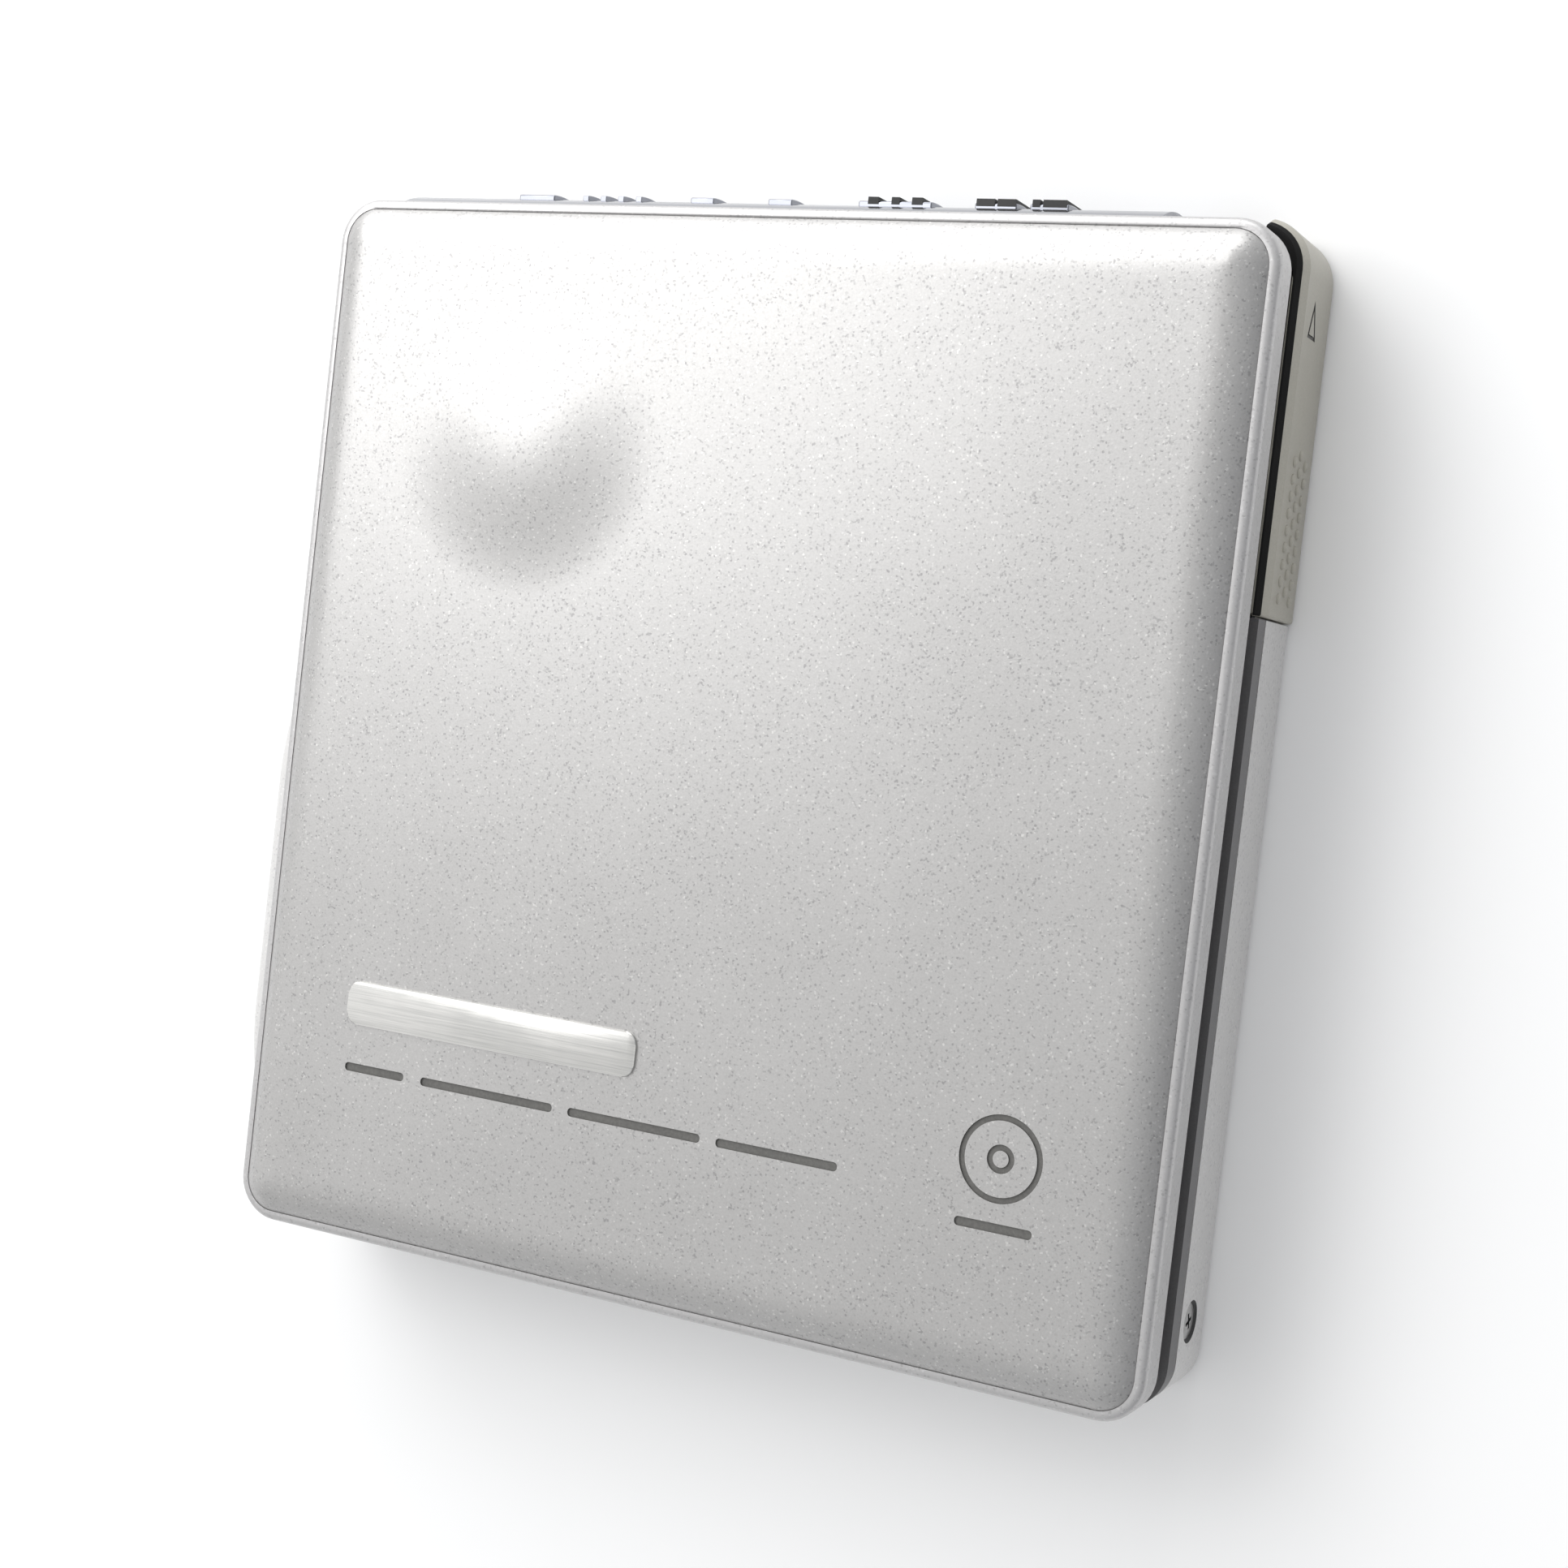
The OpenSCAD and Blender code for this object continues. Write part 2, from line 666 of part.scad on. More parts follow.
// Drive places
chassis_left = board_x0;
chassis_y0 = -(half_l - chassis_low);
rail_axis = chassis_z + rail_z;
sled_y0 = -(lens_y + sled_far);
sled_y1 = -(lens_y - sled_near);
near_post_y = sled_y1 + post_gap;
sled_z = chassis_z + sled_lift;
sled_top = sled_z + sled_h;
table_z = chassis_z + motor_h + table_gap;
nut_half = screw_r + pin_fit + nut_wall;
nut_y = -(lens_y + nut_len / 2);
DAMPERS = [[chassis_left + damper_in, chassis_top - damper_in],
    [chassis_right - damper_in, chassis_top - damper_in],
    [chassis_right + chassis_tab - damper_in, chassis_y0 + chassis_tab_w / 2]];
STUDS = [[board_x0 + stud_r, board_arm_y + stud_r], [board_arm_x + stud_r, board_low_y + stud_r],
    [board_x1 - stud_r, board_low_y + stud_r], [board_arm_x, board_y1 - chip_mid]];

// Plan shape with round corners
module plate(w, l, r) {
    square([w - 2 * r, l], center = true);
    square([w, l - 2 * r], center = true);
    for (sx = [-1, 1])
        for (sy = [-1, 1])
            translate([sx * (w / 2 - r), sy * (l / 2 - r)])
                circle(r);
}

// Body outline moved in by a distance
module inset(e) {
    plate(body_w - 2 * e, body_l - 2 * e, corner_r - e);
}

// Runs a section round the body outline; the section's x is the distance in from the outside
module around() {
    run_x = body_w - 2 * corner_r;
    run_y = body_l - 2 * corner_r;
    translate([half_w, 0, 0])
        rotate([90, 0, 0])
            linear_extrude(run_y, center = true)
                mirror([1, 0])
                    children();
    translate([-half_w, 0, 0])
        rotate([90, 0, 0])
            linear_extrude(run_y, center = true)
                children();
    translate([0, half_l, 0])
        rotate([90, 0, 90])
            linear_extrude(run_x, center = true)
                mirror([1, 0])
                    children();
    translate([0, -half_l, 0])
        rotate([90, 0, 90])
            linear_extrude(run_x, center = true)
                children();
    for (turn = [0, 1, 2, 3])
        translate([(turn == 0 || turn == 3 ? 1 : -1) * run_x / 2, (turn < 2 ? 1 : -1) * run_y / 2, 0])
            rotate([0, 0, 90 * turn])
                rotate_extrude(angle = 90)
                    intersection() {
                        translate([corner_r, 0])
                            mirror([1, 0])
                                children();
                        translate([0, -FAR])
                            square(2 * FAR);
                    }
}

// Box from one corner to the other
module box(a, b) {
    translate(a)
        cube(b - a);
}

// Round bar along Y from a start height
module bar_y(x, y, z, r, len) {
    translate([x, y, z])
        rotate([-90, 0, 0])
            cylinder(r = r, h = len);
}

// Plan of the lever: out is past the side, in is under it, side widens the ends
module lever_plan(out, in, side) {
    intersection() {
        difference() {
            inset(-out);
            inset(in);
        }
        translate([half_w - lever_wrap - side, lever_low_y - side])
            square([lever_wrap + side + FAR, lever_len + side + FAR]);
    }
}

// Room that the lever takes out of the case and the shoulder
module lever_recess() {
    translate([0, 0, -EPS])
        linear_extrude(lid_z)
            lever_plan(lever_proud + case_wall, recess_in, lever_fit);
}

// Room round the cell, open upwards
module battery_bay() {
    box([batt_x0 - bay_gap, batt_y0 - bay_gap, floor_t], [batt_x1 + bay_gap, contact_y, deck_z]);
}

// Screw at a side: the cone starts at the outside
module side_screw(len) {
    cylinder(r1 = side_head_r, r2 = side_shank_r, h = side_cone);
    cylinder(r = side_shank_r, h = len);
}

// Puts a shape at each side screw, pointing inwards
module at_side_screws() {
    translate([half_w, side_right_y, side_screw_z])
        rotate([0, -90, 0])
            children();
    translate([-half_w, side_left_y, side_screw_z])
        rotate([0, 90, 0])
            children();
    translate([side_low_x, -half_l, side_screw_z])
        rotate([-90, 0, 0])
            children();
}

// Crowned bar along X that the strip and the caps are cut from
module crown(x0, x1, r) {
    translate([x0, strip_yc, key_z])
        rotate([0, 90, 0])
            cylinder(r = r, h = x1 - x0, $fn = 128);
}

// Hole through the strip for a cap
module cap_hole(x0, x1, fit) {
    box([x0 - fit, half_l - EPS, key_z - key_h / 2 - key_fit],
        [x1 + fit, half_l + FAR, key_z + key_h / 2 + key_fit]);
}

// Slot through the case wall for a stem
module stem_slot(x0, x1, fit) {
    box([x0 - fit, inner_l - EPS, stem_z - stem_h / 2 - key_fit],
        [x1 + fit, half_l + EPS, stem_z + stem_h / 2 + key_fit]);
}

// Cap with a crowned face
module cap(x, w, rise) {
    intersection() {
        box([x - w / 2, cap_y, key_z - key_h / 2], [x + w / 2, half_l + FAR, key_z + key_h / 2]);
        crown(x - w, x + w, strip_r + rise);
    }
}

// Stem behind a cap with the flange that holds it in
module stem(x, w) {
    box([x - w / 2, flange_y, stem_z - stem_h / 2], [x + w / 2, cap_y + EPS, stem_z + stem_h / 2]);
    box([x - w / 2 - flange_lap, flange_y, stem_z - stem_h / 2 - flange_lap],
        [x + w / 2 + flange_lap, inner_l, stem_z + stem_h / 2 + flange_lap]);
}

// Push key
module key(x, w) {
    cap(x, w, key_proud);
    stem(x, w - 2 * stem_in);
}

// Clearance round a turning knuckle
module turn_room(y, len, r) {
    bar_y(hinge_x, y - knuckle_gap / 2, hinge_z, r + turn_gap, len + knuckle_gap);
}

// Solid pillow whose curve is moved in by a distance, from a low level to its top
module pillow(drop, low) {
    around()
        pillow_section(drop, low);
    translate([0, 0, low])
        linear_extrude(lid_top - drop - low)
            square([body_w - 2 * corner_r, body_l - 2 * corner_r], center = true);
}

// Section of the pillow
module pillow_section(drop, low) {
    intersection() {
        union() {
            translate([corner_r, pillow_zc])
                circle(pillow_r - drop, $fn = 128);
            square([corner_r, pillow_zc]);
        }
        translate([panel_in + drop, low])
            square([pillow_w - drop, lid_top - low]);
    }
}

// Round dome with a soft foot
module dome(low) {
    steps = 14;
    rise = [for (i = [0 : steps]) [dome_r * i / steps, dome_h * (1 + cos(180 * i / steps)) / 2]];
    rotate_extrude($fn = 96)
        polygon(concat([[0, -low]], rise, [[dome_r, -low]]));
}

module bottom_case() {
    color(SILVER)
        difference() {
            union() {
                around()
                    difference() {
                        square([case_wall, split_z]);
                        difference() {
                            square(foot_r);
                            translate([foot_r, foot_r])
                                circle(foot_r);
                        }
                    }
                linear_extrude(floor_t)
                    inset((foot_r + case_wall) / 2);
                linear_extrude(split_z)
                    intersection() {
                        difference() {
                            inset((recess_in + case_wall) / 2);
                            inset(recess_in + case_wall);
                        }
                        translate([half_w - lever_wrap - recess_in, lever_low_y - case_wall])
                            square(FAR);
                    }
                box([half_w - tab_in - bay_rib, tab_y - bay_rib, floor_t - EPS],
                    [half_w - recess_in - EPS, spring_end + bay_rib, split_z - shelf_t]);
                box([bay_rib_x, -inner_l + bay_rib, floor_t - EPS],
                    [bay_rib_x + bay_rib, contact_y + contact_t, split_z - shelf_t]);
                box([batt_xc - contact_w / 2 - bay_rib, contact_y + contact_t, floor_t - EPS],
                    [bay_rib_x + bay_rib, contact_y + contact_t + bay_rib, split_z - shelf_t]);
                for (p = POSTS)
                    translate(p)
                        cylinder(r = base_head_r + base_boss, h = boss_top);
                for (p = STUDS)
                    translate(p)
                        cylinder(r = stud_r, h = board_z);
                for (p = DAMPERS)
                    translate(p)
                        cylinder(r = damper_pin_r, h = chassis_z + damper_t);
            }
            lever_recess();
            box([half_w - tab_in - key_fit, tab_y - lever_fit, spring_z - spring_room],
                [half_w, spring_end, spring_z + spring_room]);
            box([door_x0 - door_gap, -half_l - EPS, floor_t], [pivot_x, -inner_l + EPS, split_z + EPS]);
            box([pivot_x - EPS, -half_l - EPS, floor_t],
                [pivot_x + knuckle_door + door_gap, pivot_y, split_z + EPS]);
            translate([pivot_x, pivot_y, floor_t])
                cylinder(r = knuckle_door + door_gap, h = split_z);
            translate([pivot_x, pivot_y, door_pin_cap])
                cylinder(r = door_pin_r, h = floor_t);
            for (k = KEYS)
                stem_slot(k[0] - k[1] / 2 + stem_in, k[0] + k[1] / 2 - stem_in, key_fit);
            stem_slot(hold_x - hold_stem / 2, hold_x + hold_stem / 2 + hold_travel, key_fit);
            for (s = [-1, 1])
                stem_slot(volume_x + s * rock_stem_x - rock_stem_w / 2,
                    volume_x + s * rock_stem_x + rock_stem_w / 2, rock_fit);
            box([jack_x - jack_collar_r, inner_l - EPS, jack_z - jack_collar_r],
                [jack_x + jack_collar_r, FAR, split_z + EPS]);
            at_side_screws()
                side_screw(case_wall + EPS);
            for (p = POSTS)
                translate([p[0], p[1], -EPS]) {
                    cylinder(r = base_head_r, h = base_head_z + EPS);
                    cylinder(r = base_shank_r, h = FAR);
                }
            for (p = DAMPERS)
                translate([p[0], p[1], board_z])
                    cylinder(r = chassis_shank_r, h = FAR);
        }
}

module mid_frame() {
    color(GREY)
        difference() {
            union() {
                around()
                    difference() {
                        union() {
                            translate([0, split_z])
                                square([trim_wall, shoulder_h]);
                            translate([0, split_z])
                                square([shelf_w, shelf_t]);
                        }
                        translate([-EPS, split_z - EPS])
                            square([groove_d, groove_h]);
                    }
                difference() {
                    hinge_barrel();
                    box([-FAR, -FAR, 0], [FAR, FAR, shoulder_z - EPS]);
                }
                box([-half_w, barrel_y0 + barrel_taper, shoulder_z - EPS],
                    [trim_wall - half_w, barrel_y1 - barrel_taper, hinge_z]);
                side_tabs();
            }
            lever_recess();
            battery_bay();
            box([door_x0 - door_gap, -half_l - EPS, split_z - EPS],
                [pivot_x - knuckle_door - door_gap, -half_l + shelf_w + EPS, deck_z]);
            translate([pivot_x, pivot_y, split_z - EPS])
                cylinder(r = door_pin_r, h = shelf_t - door_pin_cap + EPS);
            bar_y(hinge_x, lid_low_y, hinge_z, hinge_pin_r, pin_len);
            at_side_screws()
                side_screw(case_wall + tab_wall + EPS);
        }
}

// Barrel whose ends round off to the tips
module hinge_barrel() {
    steps = 6;
    swell = barrel_r - barrel_tip_r;
    near = [for (i = [0 : steps]) [barrel_tip_r + swell * sin(90 * i / steps), barrel_taper * i / steps]];
    far = [for (i = [0 : steps]) [near[steps - i][0], barrel_len - near[steps - i][1]]];
    translate([hinge_x, barrel_y0, hinge_z])
        rotate([-90, 0, 0])
            rotate_extrude()
                polygon(concat([[0, 0]], near, far, [[0, barrel_len]]));
}

// Tabs under the shoulder that the side screws bite into
module side_tabs() {
    tab_low = side_screw_z - side_head_r;
    box([half_w - case_wall - tab_wall, side_right_y - tab_half, tab_low],
        [half_w - case_wall, side_right_y + tab_half, split_z + EPS]);
    box([case_wall - half_w, side_left_y - tab_half, tab_low],
        [case_wall + tab_wall - half_w, min(side_left_y + tab_half, half_l - corner_r), split_z + EPS]);
    box([side_low_x - tab_half, case_wall - half_l, tab_low],
        [side_low_x + tab_half, case_wall + tab_wall - half_l, split_z + EPS]);
}

module deck() {
    dust_in = trim_wall + deck_fit;
    color(BLACK)
        difference() {
            union() {
                translate([0, 0, deck_z])
                    linear_extrude(deck_t)
                        inset(dust_in);
                difference() {
                    around()
                        translate([dust_in, deck_z])
                            square([dust_t, dust_top - deck_z]);
                    box([-FAR, -FAR, deck_top], [corner_r - half_w, FAR, FAR]);
                }
                for (p = POSTS)
                    translate([p[0], p[1], boss_top])
                        cylinder(r = post_r, h = deck_z - boss_top + EPS);
            }
            translate([0, 0, deck_z - EPS]) {
                cylinder(r = table_hole_r, h = FAR);
                box([-pickup_gap_w / 2, -pickup_gap_l, 0], [pickup_gap_w / 2, 0, FAR]);
            }
            box([hook_x - turn_gap, hook_y - turn_gap, deck_top], [half_w, pocket_end, FAR]);
            for (p = POSTS)
                translate([p[0], p[1], boss_top - EPS])
                    cylinder(r = base_shank_r, h = base_bite + EPS);
        }
}

module control_strip() {
    color(STEEL)
        difference() {
            intersection() {
                crown(strip_left, strip_right, strip_r);
                box([-FAR, half_l, 0], [FAR, FAR, FAR]);
            }
            for (k = KEYS)
                cap_hole(k[0] - k[1] / 2, k[0] + k[1] / 2, key_fit);
            cap_hole(hold_x - hold_w / 2, hold_x + hold_w / 2 + hold_travel, key_fit);
            cap_hole(volume_x - volume_w / 2, volume_x + volume_w / 2, key_fit);
            translate([volume_x, half_l + rock_pin_out, key_z])
                cylinder(r = rock_pin_r + pin_fit, h = key_h + 2 * rock_pin_len, center = true);
        }
}

module hinge_pin() {
    color(STEEL)
        bar_y(hinge_x, lid_low_y, hinge_z, hinge_pin_r, pin_len);
}

module side_screws() {
    color(STEEL)
        at_side_screws()
            side_screw(case_wall + tab_wall);
}

module base_screws() {
    color(STEEL)
        for (p = POSTS)
            translate([p[0], p[1], base_sink]) {
                cylinder(r = base_head_r, h = base_head_t);
                cylinder(r = base_shank_r, h = boss_top + base_bite - base_sink);
            }
}

module main_board() {
    color(GREEN)
        translate([0, 0, board_z])
            linear_extrude(board_t)
                difference() {
                    polygon([[board_x0, board_arm_y], [board_arm_x, board_arm_y],
                        [board_arm_x, board_low_y], [board_x1, board_low_y],
                        [board_x1, board_y1], [board_x0, board_y1]]);
                    for (p = POSTS)
                        translate(p)
                            circle(post_r + board_gap);
                    translate([jack_x - jack_w / 2 - board_gap, inner_l - jack_len - board_gap])
                        square(FAR);
                    translate([half_w - tab_in - bay_rib - board_gap, tab_y - bay_rib - board_gap])
                        square(FAR);
                }
}

module board_chips() {
    arm_x = (board_arm_x + board_x1) / 2;
    color(BLACK)
        translate([0, 0, board_top_z]) {
            chip(arm_x, 0, chip_big);
            chip(arm_x, -chip_big - chip_mid / 2, chip_mid);
            chip(board_arm_x - chip_big, board_arm_y + chip_big, chip_big);
            chip(board_x0 + chip_big, board_arm_y + chip_mid, chip_mid);
            chip(board_x0 + chip_small, board_arm_y + chip_big, chip_small);
            translate([arm_x, chip_big + coil_r, 0])
                cylinder(r = coil_r, h = coil_h);
        }
}

// Square package
module chip(x, y, side) {
    translate([x - side / 2, y - side / 2, 0])
        cube([side, side, chip_t]);
}

module key_board() {
    color(GREEN)
        box([mode_x - mode_w / 2 - key_board_over, key_board_y, floor_t],
            [forward_x + forward_w / 2 + key_board_over, key_board_y + key_board_t, floor_t + key_board_h]);
}

module key_switches() {
    places = [mode_x, hold_x, volume_x - rock_stem_x, volume_x + rock_stem_x, play_x, back_x, forward_x];
    color(BLACK)
        for (x = places)
            box([x - switch_w / 2, key_board_y + key_board_t, stem_z - switch_h / 2],
                [x + switch_w / 2, switch_top, stem_z + switch_h / 2]);
}

module headphone_jack() {
    color(BLACK)
        difference() {
            union() {
                box([jack_x - jack_w / 2, inner_l - jack_len, floor_t],
                    [jack_x + jack_w / 2, inner_l, floor_t + jack_w]);
                bar_y(jack_x, inner_l - EPS, jack_z, jack_collar_r, case_wall + jack_out + EPS);
                box([jack_x - jack_collar_r, inner_l - EPS, jack_z - jack_collar_r],
                    [jack_x + jack_collar_r, half_l, split_z]);
            }
            bar_y(jack_x, inner_l - jack_len + jack_end, jack_z, jack_bore_r, FAR);
        }
}

module battery() {
    color(STEEL) {
        translate([batt_xc, batt_y0, batt_zc])
            rotate([-90, 0, 0])
                linear_extrude(batt_length)
                    plate(batt_width, batt_thick, batt_round);
        bar_y(batt_xc, batt_y1 - EPS, batt_zc, batt_tip_r, batt_tip_h + EPS);
    }
}

module battery_contact() {
    color(BRASS)
        box([batt_xc - contact_w / 2, contact_y, batt_zc - contact_h / 2],
            [batt_xc + contact_w / 2, contact_y + contact_t, batt_zc + contact_h / 2]);
}

module mech_chassis() {
    tab_x = chassis_right + chassis_tab;
    far_y = chassis_y0 + rail_post_t;
    color(STEEL)
        difference() {
            union() {
                box([chassis_left, chassis_y0, board_z], [chassis_right, chassis_top, chassis_z]);
                box([chassis_right - EPS, chassis_y0, board_z],
                    [tab_x, chassis_y0 + chassis_tab_w, chassis_z]);
                box([sub_rail_x - bush_half, chassis_y0, chassis_z - EPS],
                    [screw_x + bush_half, far_y, rail_axis + rail_post_h]);
                for (x = [sub_rail_x, main_rail_x])
                    box([x - bush_half, near_post_y, chassis_z - EPS],
                        [x + bush_half, near_post_y + rail_post_t, rail_axis + rail_post_h]);
                box([screw_x - sled_motor_r, -sled_motor_y, chassis_z - EPS],
                    [screw_x + sled_motor_r, sled_motor_len - sled_motor_y, rail_axis]);
            }
            bar_y(main_rail_x, chassis_y0, rail_axis, main_rail_r, FAR);
            bar_y(sub_rail_x, chassis_y0, rail_axis, sub_rail_r, FAR);
            bar_y(screw_x, chassis_y0 - EPS, rail_axis, journal_r + pin_fit, rail_post_t + 2 * EPS);
            bar_y(screw_x, -sled_motor_y - EPS, rail_axis, sled_motor_r, FAR);
            for (p = DAMPERS)
                translate(p)
                    cylinder(r = damper_waist, h = FAR);
        }
}

module chassis_dampers() {
    color(BLACK)
        for (p = DAMPERS)
            translate([p[0], p[1], floor_t])
                difference() {
                    union() {
                        cylinder(r = damper_r, h = board_lift);
                        cylinder(r = damper_waist, h = board_lift + chassis_t + damper_t);
                        translate([0, 0, board_lift + chassis_t])
                            cylinder(r = damper_r, h = damper_t);
                    }
                    translate([0, 0, -EPS])
                        cylinder(r = damper_pin_r, h = FAR);
                }
}

module chassis_screws() {
    color(STEEL)
        for (p = DAMPERS)
            translate([p[0], p[1], 0]) {
                translate([0, 0, chassis_z + damper_t])
                    cylinder(r = chassis_head_r, h = chassis_head_t);
                translate([0, 0, board_z])
                    cylinder(r = chassis_shank_r, h = chassis_t + damper_t + EPS);
            }
}

module spindle_motor() {
    color(STEEL)
        difference() {
            translate([0, 0, chassis_z])
                cylinder(r = motor_r, h = motor_h, $fn = 96);
            translate([0, 0, chassis_z + spindle_r])
                cylinder(r = spindle_r + pin_fit, h = FAR);
        }
}

module main_guide_rail() {
    color(STEEL)
        bar_y(main_rail_x, chassis_y0, rail_axis, main_rail_r, near_post_y + rail_post_t - chassis_y0);
}

module sub_guide_rail() {
    color(STEEL)
        bar_y(sub_rail_x, chassis_y0, rail_axis, sub_rail_r, near_post_y + rail_post_t - chassis_y0);
}

module sled_motor() {
    color(STEEL)
        difference() {
            bar_y(screw_x, -sled_motor_y, rail_axis, sled_motor_r, sled_motor_len);
            bar_y(screw_x, -sled_motor_y - EPS, rail_axis, journal_r + pin_fit, nut_len);
        }
}

module latch_spring() {
    edge = 4;
    sweep = 360 * wire_r * coils / (spring_len - 2 * wire_r);
    rim = [for (i = [-edge : edge]) [spring_r + wire_r * sqrt(1 - pow(i / edge, 2)), sweep * i / edge]];
    back = [for (i = [1 - edge : edge - 1]) [spring_r - wire_r * sqrt(1 - pow(i / edge, 2)), -sweep * i / edge]];
    color(STEEL)
        translate([half_w - spring_in, spring_y, spring_z])
            rotate([-90, 0, 0])
                linear_extrude(spring_len, twist = -360 * coils, slices = 10 * coils, segments = 1)
                    polygon([for (p = concat(rim, back)) p[0] * [cos(p[1]), sin(p[1])]]);
}

module door_pin() {
    color(STEEL)
        translate([pivot_x, pivot_y, door_pin_cap])
            cylinder(r = door_pin_r, h = split_z + shelf_t - 2 * door_pin_cap);
}

module lid_panel() {
    color(SILVER)
        difference() {
            union() {
                pillow(0, skirt_z);
                translate([dome_x, dome_y, lid_top])
                    dome(panel_t / 2);
            }
            pillow(panel_t, skirt_z - skirt_d);
            translate([dome_x, dome_y, lid_top - panel_t - EPS])
                cylinder(r1 = dome_r / 2 + panel_t, r2 = dome_r / 4, h = dome_h / 2 + EPS);
        }
}

module lid_rim() {
    color(SILVER)
        difference() {
            union() {
                around()
                    rim_section();
                for (y = [lid_low_y, lid_up_y]) {
                    bar_y(hinge_x, y, hinge_z, knuckle_r, lid_knuckle);
                    box([-half_w, y, hinge_z], [hinge_x + knuckle_r, y + lid_knuckle, lid_z + EPS]);
                }
            }
            turn_room(barrel_y0, barrel_len, barrel_r);
            turn_room(hold_low_y, holder_knuckle, knuckle_r);
            turn_room(hold_up_y, holder_knuckle, knuckle_r);
            bar_y(hinge_x, -FAR, hinge_z, hinge_pin_r + pin_fit, 2 * FAR);
            box([half_w - rim_wall - EPS, catch_y, lid_z - EPS], [pocket_out, pocket_end, lid_z + pocket_h]);
        }
}

// Section of the rim with its rounded upper edge and the step that the panel sits in
module rim_section() {
    difference() {
        translate([0, lid_z])
            square([rim_wall, crease_z - lid_z]);
        translate([rim_lip, skirt_z])
            square(rim_wall);
        translate([0, crease_z - bead_r])
            difference() {
                square(bead_r);
                translate([bead_r, 0])
                    circle(bead_r);
            }
    }
}

module lid_catch() {
    color(STEEL)
        box([pocket_out - hook_t, catch_y, lid_z + panel_t], [pocket_out, catch_y + catch_w, lid_z + pocket_h]);
}

module disc_holder() {
    color(BLACK)
        difference() {
            union() {
                intersection() {
                    holder_shell();
                    pillow(panel_t + panel_gap / 2, 0);
                }
                for (y = [hold_low_y, hold_up_y]) {
                    bar_y(hinge_x, y, hinge_z, knuckle_r, holder_knuckle);
                    box([hinge_x, y, hinge_z - arm_t / 2],
                        [sheet_t - holder_x, y + holder_knuckle, hinge_z + arm_t / 2]);
                }
            }
            turn_room(barrel_y0, barrel_len, barrel_r);
            bar_y(hinge_x, -FAR, hinge_z, hinge_pin_r + pin_fit, 2 * FAR);
        }
}

// Folded sheet: top, two sides with flanges, and the back
module holder_shell() {
    difference() {
        box([-holder_x, -holder_y, slot_top], [mouth_x, holder_y, holder_top]);
        translate([0, 0, slot_z])
            cylinder(r = window_r, h = FAR);
        for (s = [-1, 1])
            translate([0, s * tongue_y, slot_top])
                cube([tongue_len, tongue_slot, FAR], center = true);
    }
    for (s = [0, 1])
        mirror([0, s, 0]) {
            box([-holder_x, holder_y - sheet_t, holder_z], [mouth_x, holder_y, holder_top]);
            box([-holder_x, holder_y - flange_w, holder_z], [mouth_x, holder_y, slot_z]);
        }
    box([-holder_x, -holder_y, holder_z], [sheet_t - holder_x, holder_y, holder_top]);
}

module open_lever() {
    color(OLIVE) {
        difference() {
            intersection() {
                translate([0, lever_end, 0])
                    around()
                        lever_section();
                box([half_w - lever_wrap, lever_low_y, 0], [FAR, FAR, FAR]);
            }
            linear_extrude(lid_z)
                inset(lever_in);
        }
        box([half_w - tab_in, tab_y, spring_z - tab_h / 2],
            [half_w - lever_in + EPS, tab_y + tab_t, spring_z + tab_h / 2]);
    }
}

// Section of the lever: upright face, then a ramp that leans in to its upper edge
module lever_section() {
    polygon([[-lever_proud, lever_lift], [-lever_proud, lever_top - lever_ramp_h], [lever_ramp_in, lever_top],
        [lever_in + lever_end, lever_top], [lever_in + lever_end, lever_lift]]);
}

module latch_hook() {
    color(STEEL) {
        box([hook_x, hook_y, hook_z], [half_w - lever_in, hook_y + hook_w, lever_top]);
        box([hook_x, hook_y, hook_z], [hook_x + hook_t, hook_y + hook_w, hook_top]);
        box([hook_x, hook_y - hook_nose, hook_top - hook_t], [hook_x + hook_t, hook_y + hook_w, hook_top]);
    }
}

module mode_key() {
    color(STEEL)
        key(mode_x, mode_w);
}

module play_key() {
    color(STEEL)
        key(play_x, play_w);
}

module back_key() {
    color(STEEL)
        key(back_x, back_w);
}

module forward_key() {
    color(STEEL)
        key(forward_x, forward_w);
}

module volume_rocker() {
    inner_w = volume_w - 2 * volume_end;
    color(STEEL)
        difference() {
            union() {
                cap(volume_x, volume_w, key_proud);
                translate([volume_x, half_l + rock_pin_out, key_z])
                    cylinder(r = rock_pin_r, h = key_h + 2 * rock_pin_len - 2 * pin_fit, center = true);
                for (s = [-1, 1])
                    box([volume_x + s * rock_stem_x - rock_stem_w / 2, flange_y, stem_z - stem_h / 2],
                        [volume_x + s * rock_stem_x + rock_stem_w / 2, cap_y + EPS, stem_z + stem_h / 2]);
            }
            box([volume_x - inner_w / 2, half_l + strip_proud + key_proud - volume_dip, 0],
                [volume_x + inner_w / 2, half_l + FAR, FAR]);
        }
}

module hold_slider() {
    pitch = hold_w / hold_ribs;
    color(BLACK) {
        cap(hold_x, hold_w, 0);
        for (i = [0 : hold_ribs - 1])
            cap(hold_x - hold_w / 2 + (i + MID) * pitch, rib_w, key_proud);
        stem(hold_x, hold_stem);
    }
}

module turntable() {
    hub_top = table_z + table_t + hub_h;
    color(STEEL) {
        translate([0, 0, chassis_z + 2 * spindle_r])
            cylinder(r = spindle_r, h = table_z - chassis_z - 2 * spindle_r + EPS);
        translate([0, 0, table_z])
            rotate_extrude($fn = 96)
                polygon([[0, 0], [table_r, 0], [table_r, table_t], [hub_r, table_t],
                    [hub_r, table_t + hub_h / 2], [hub_r / 2, hub_top - table_z], [0, hub_top - table_z]]);
    }
}

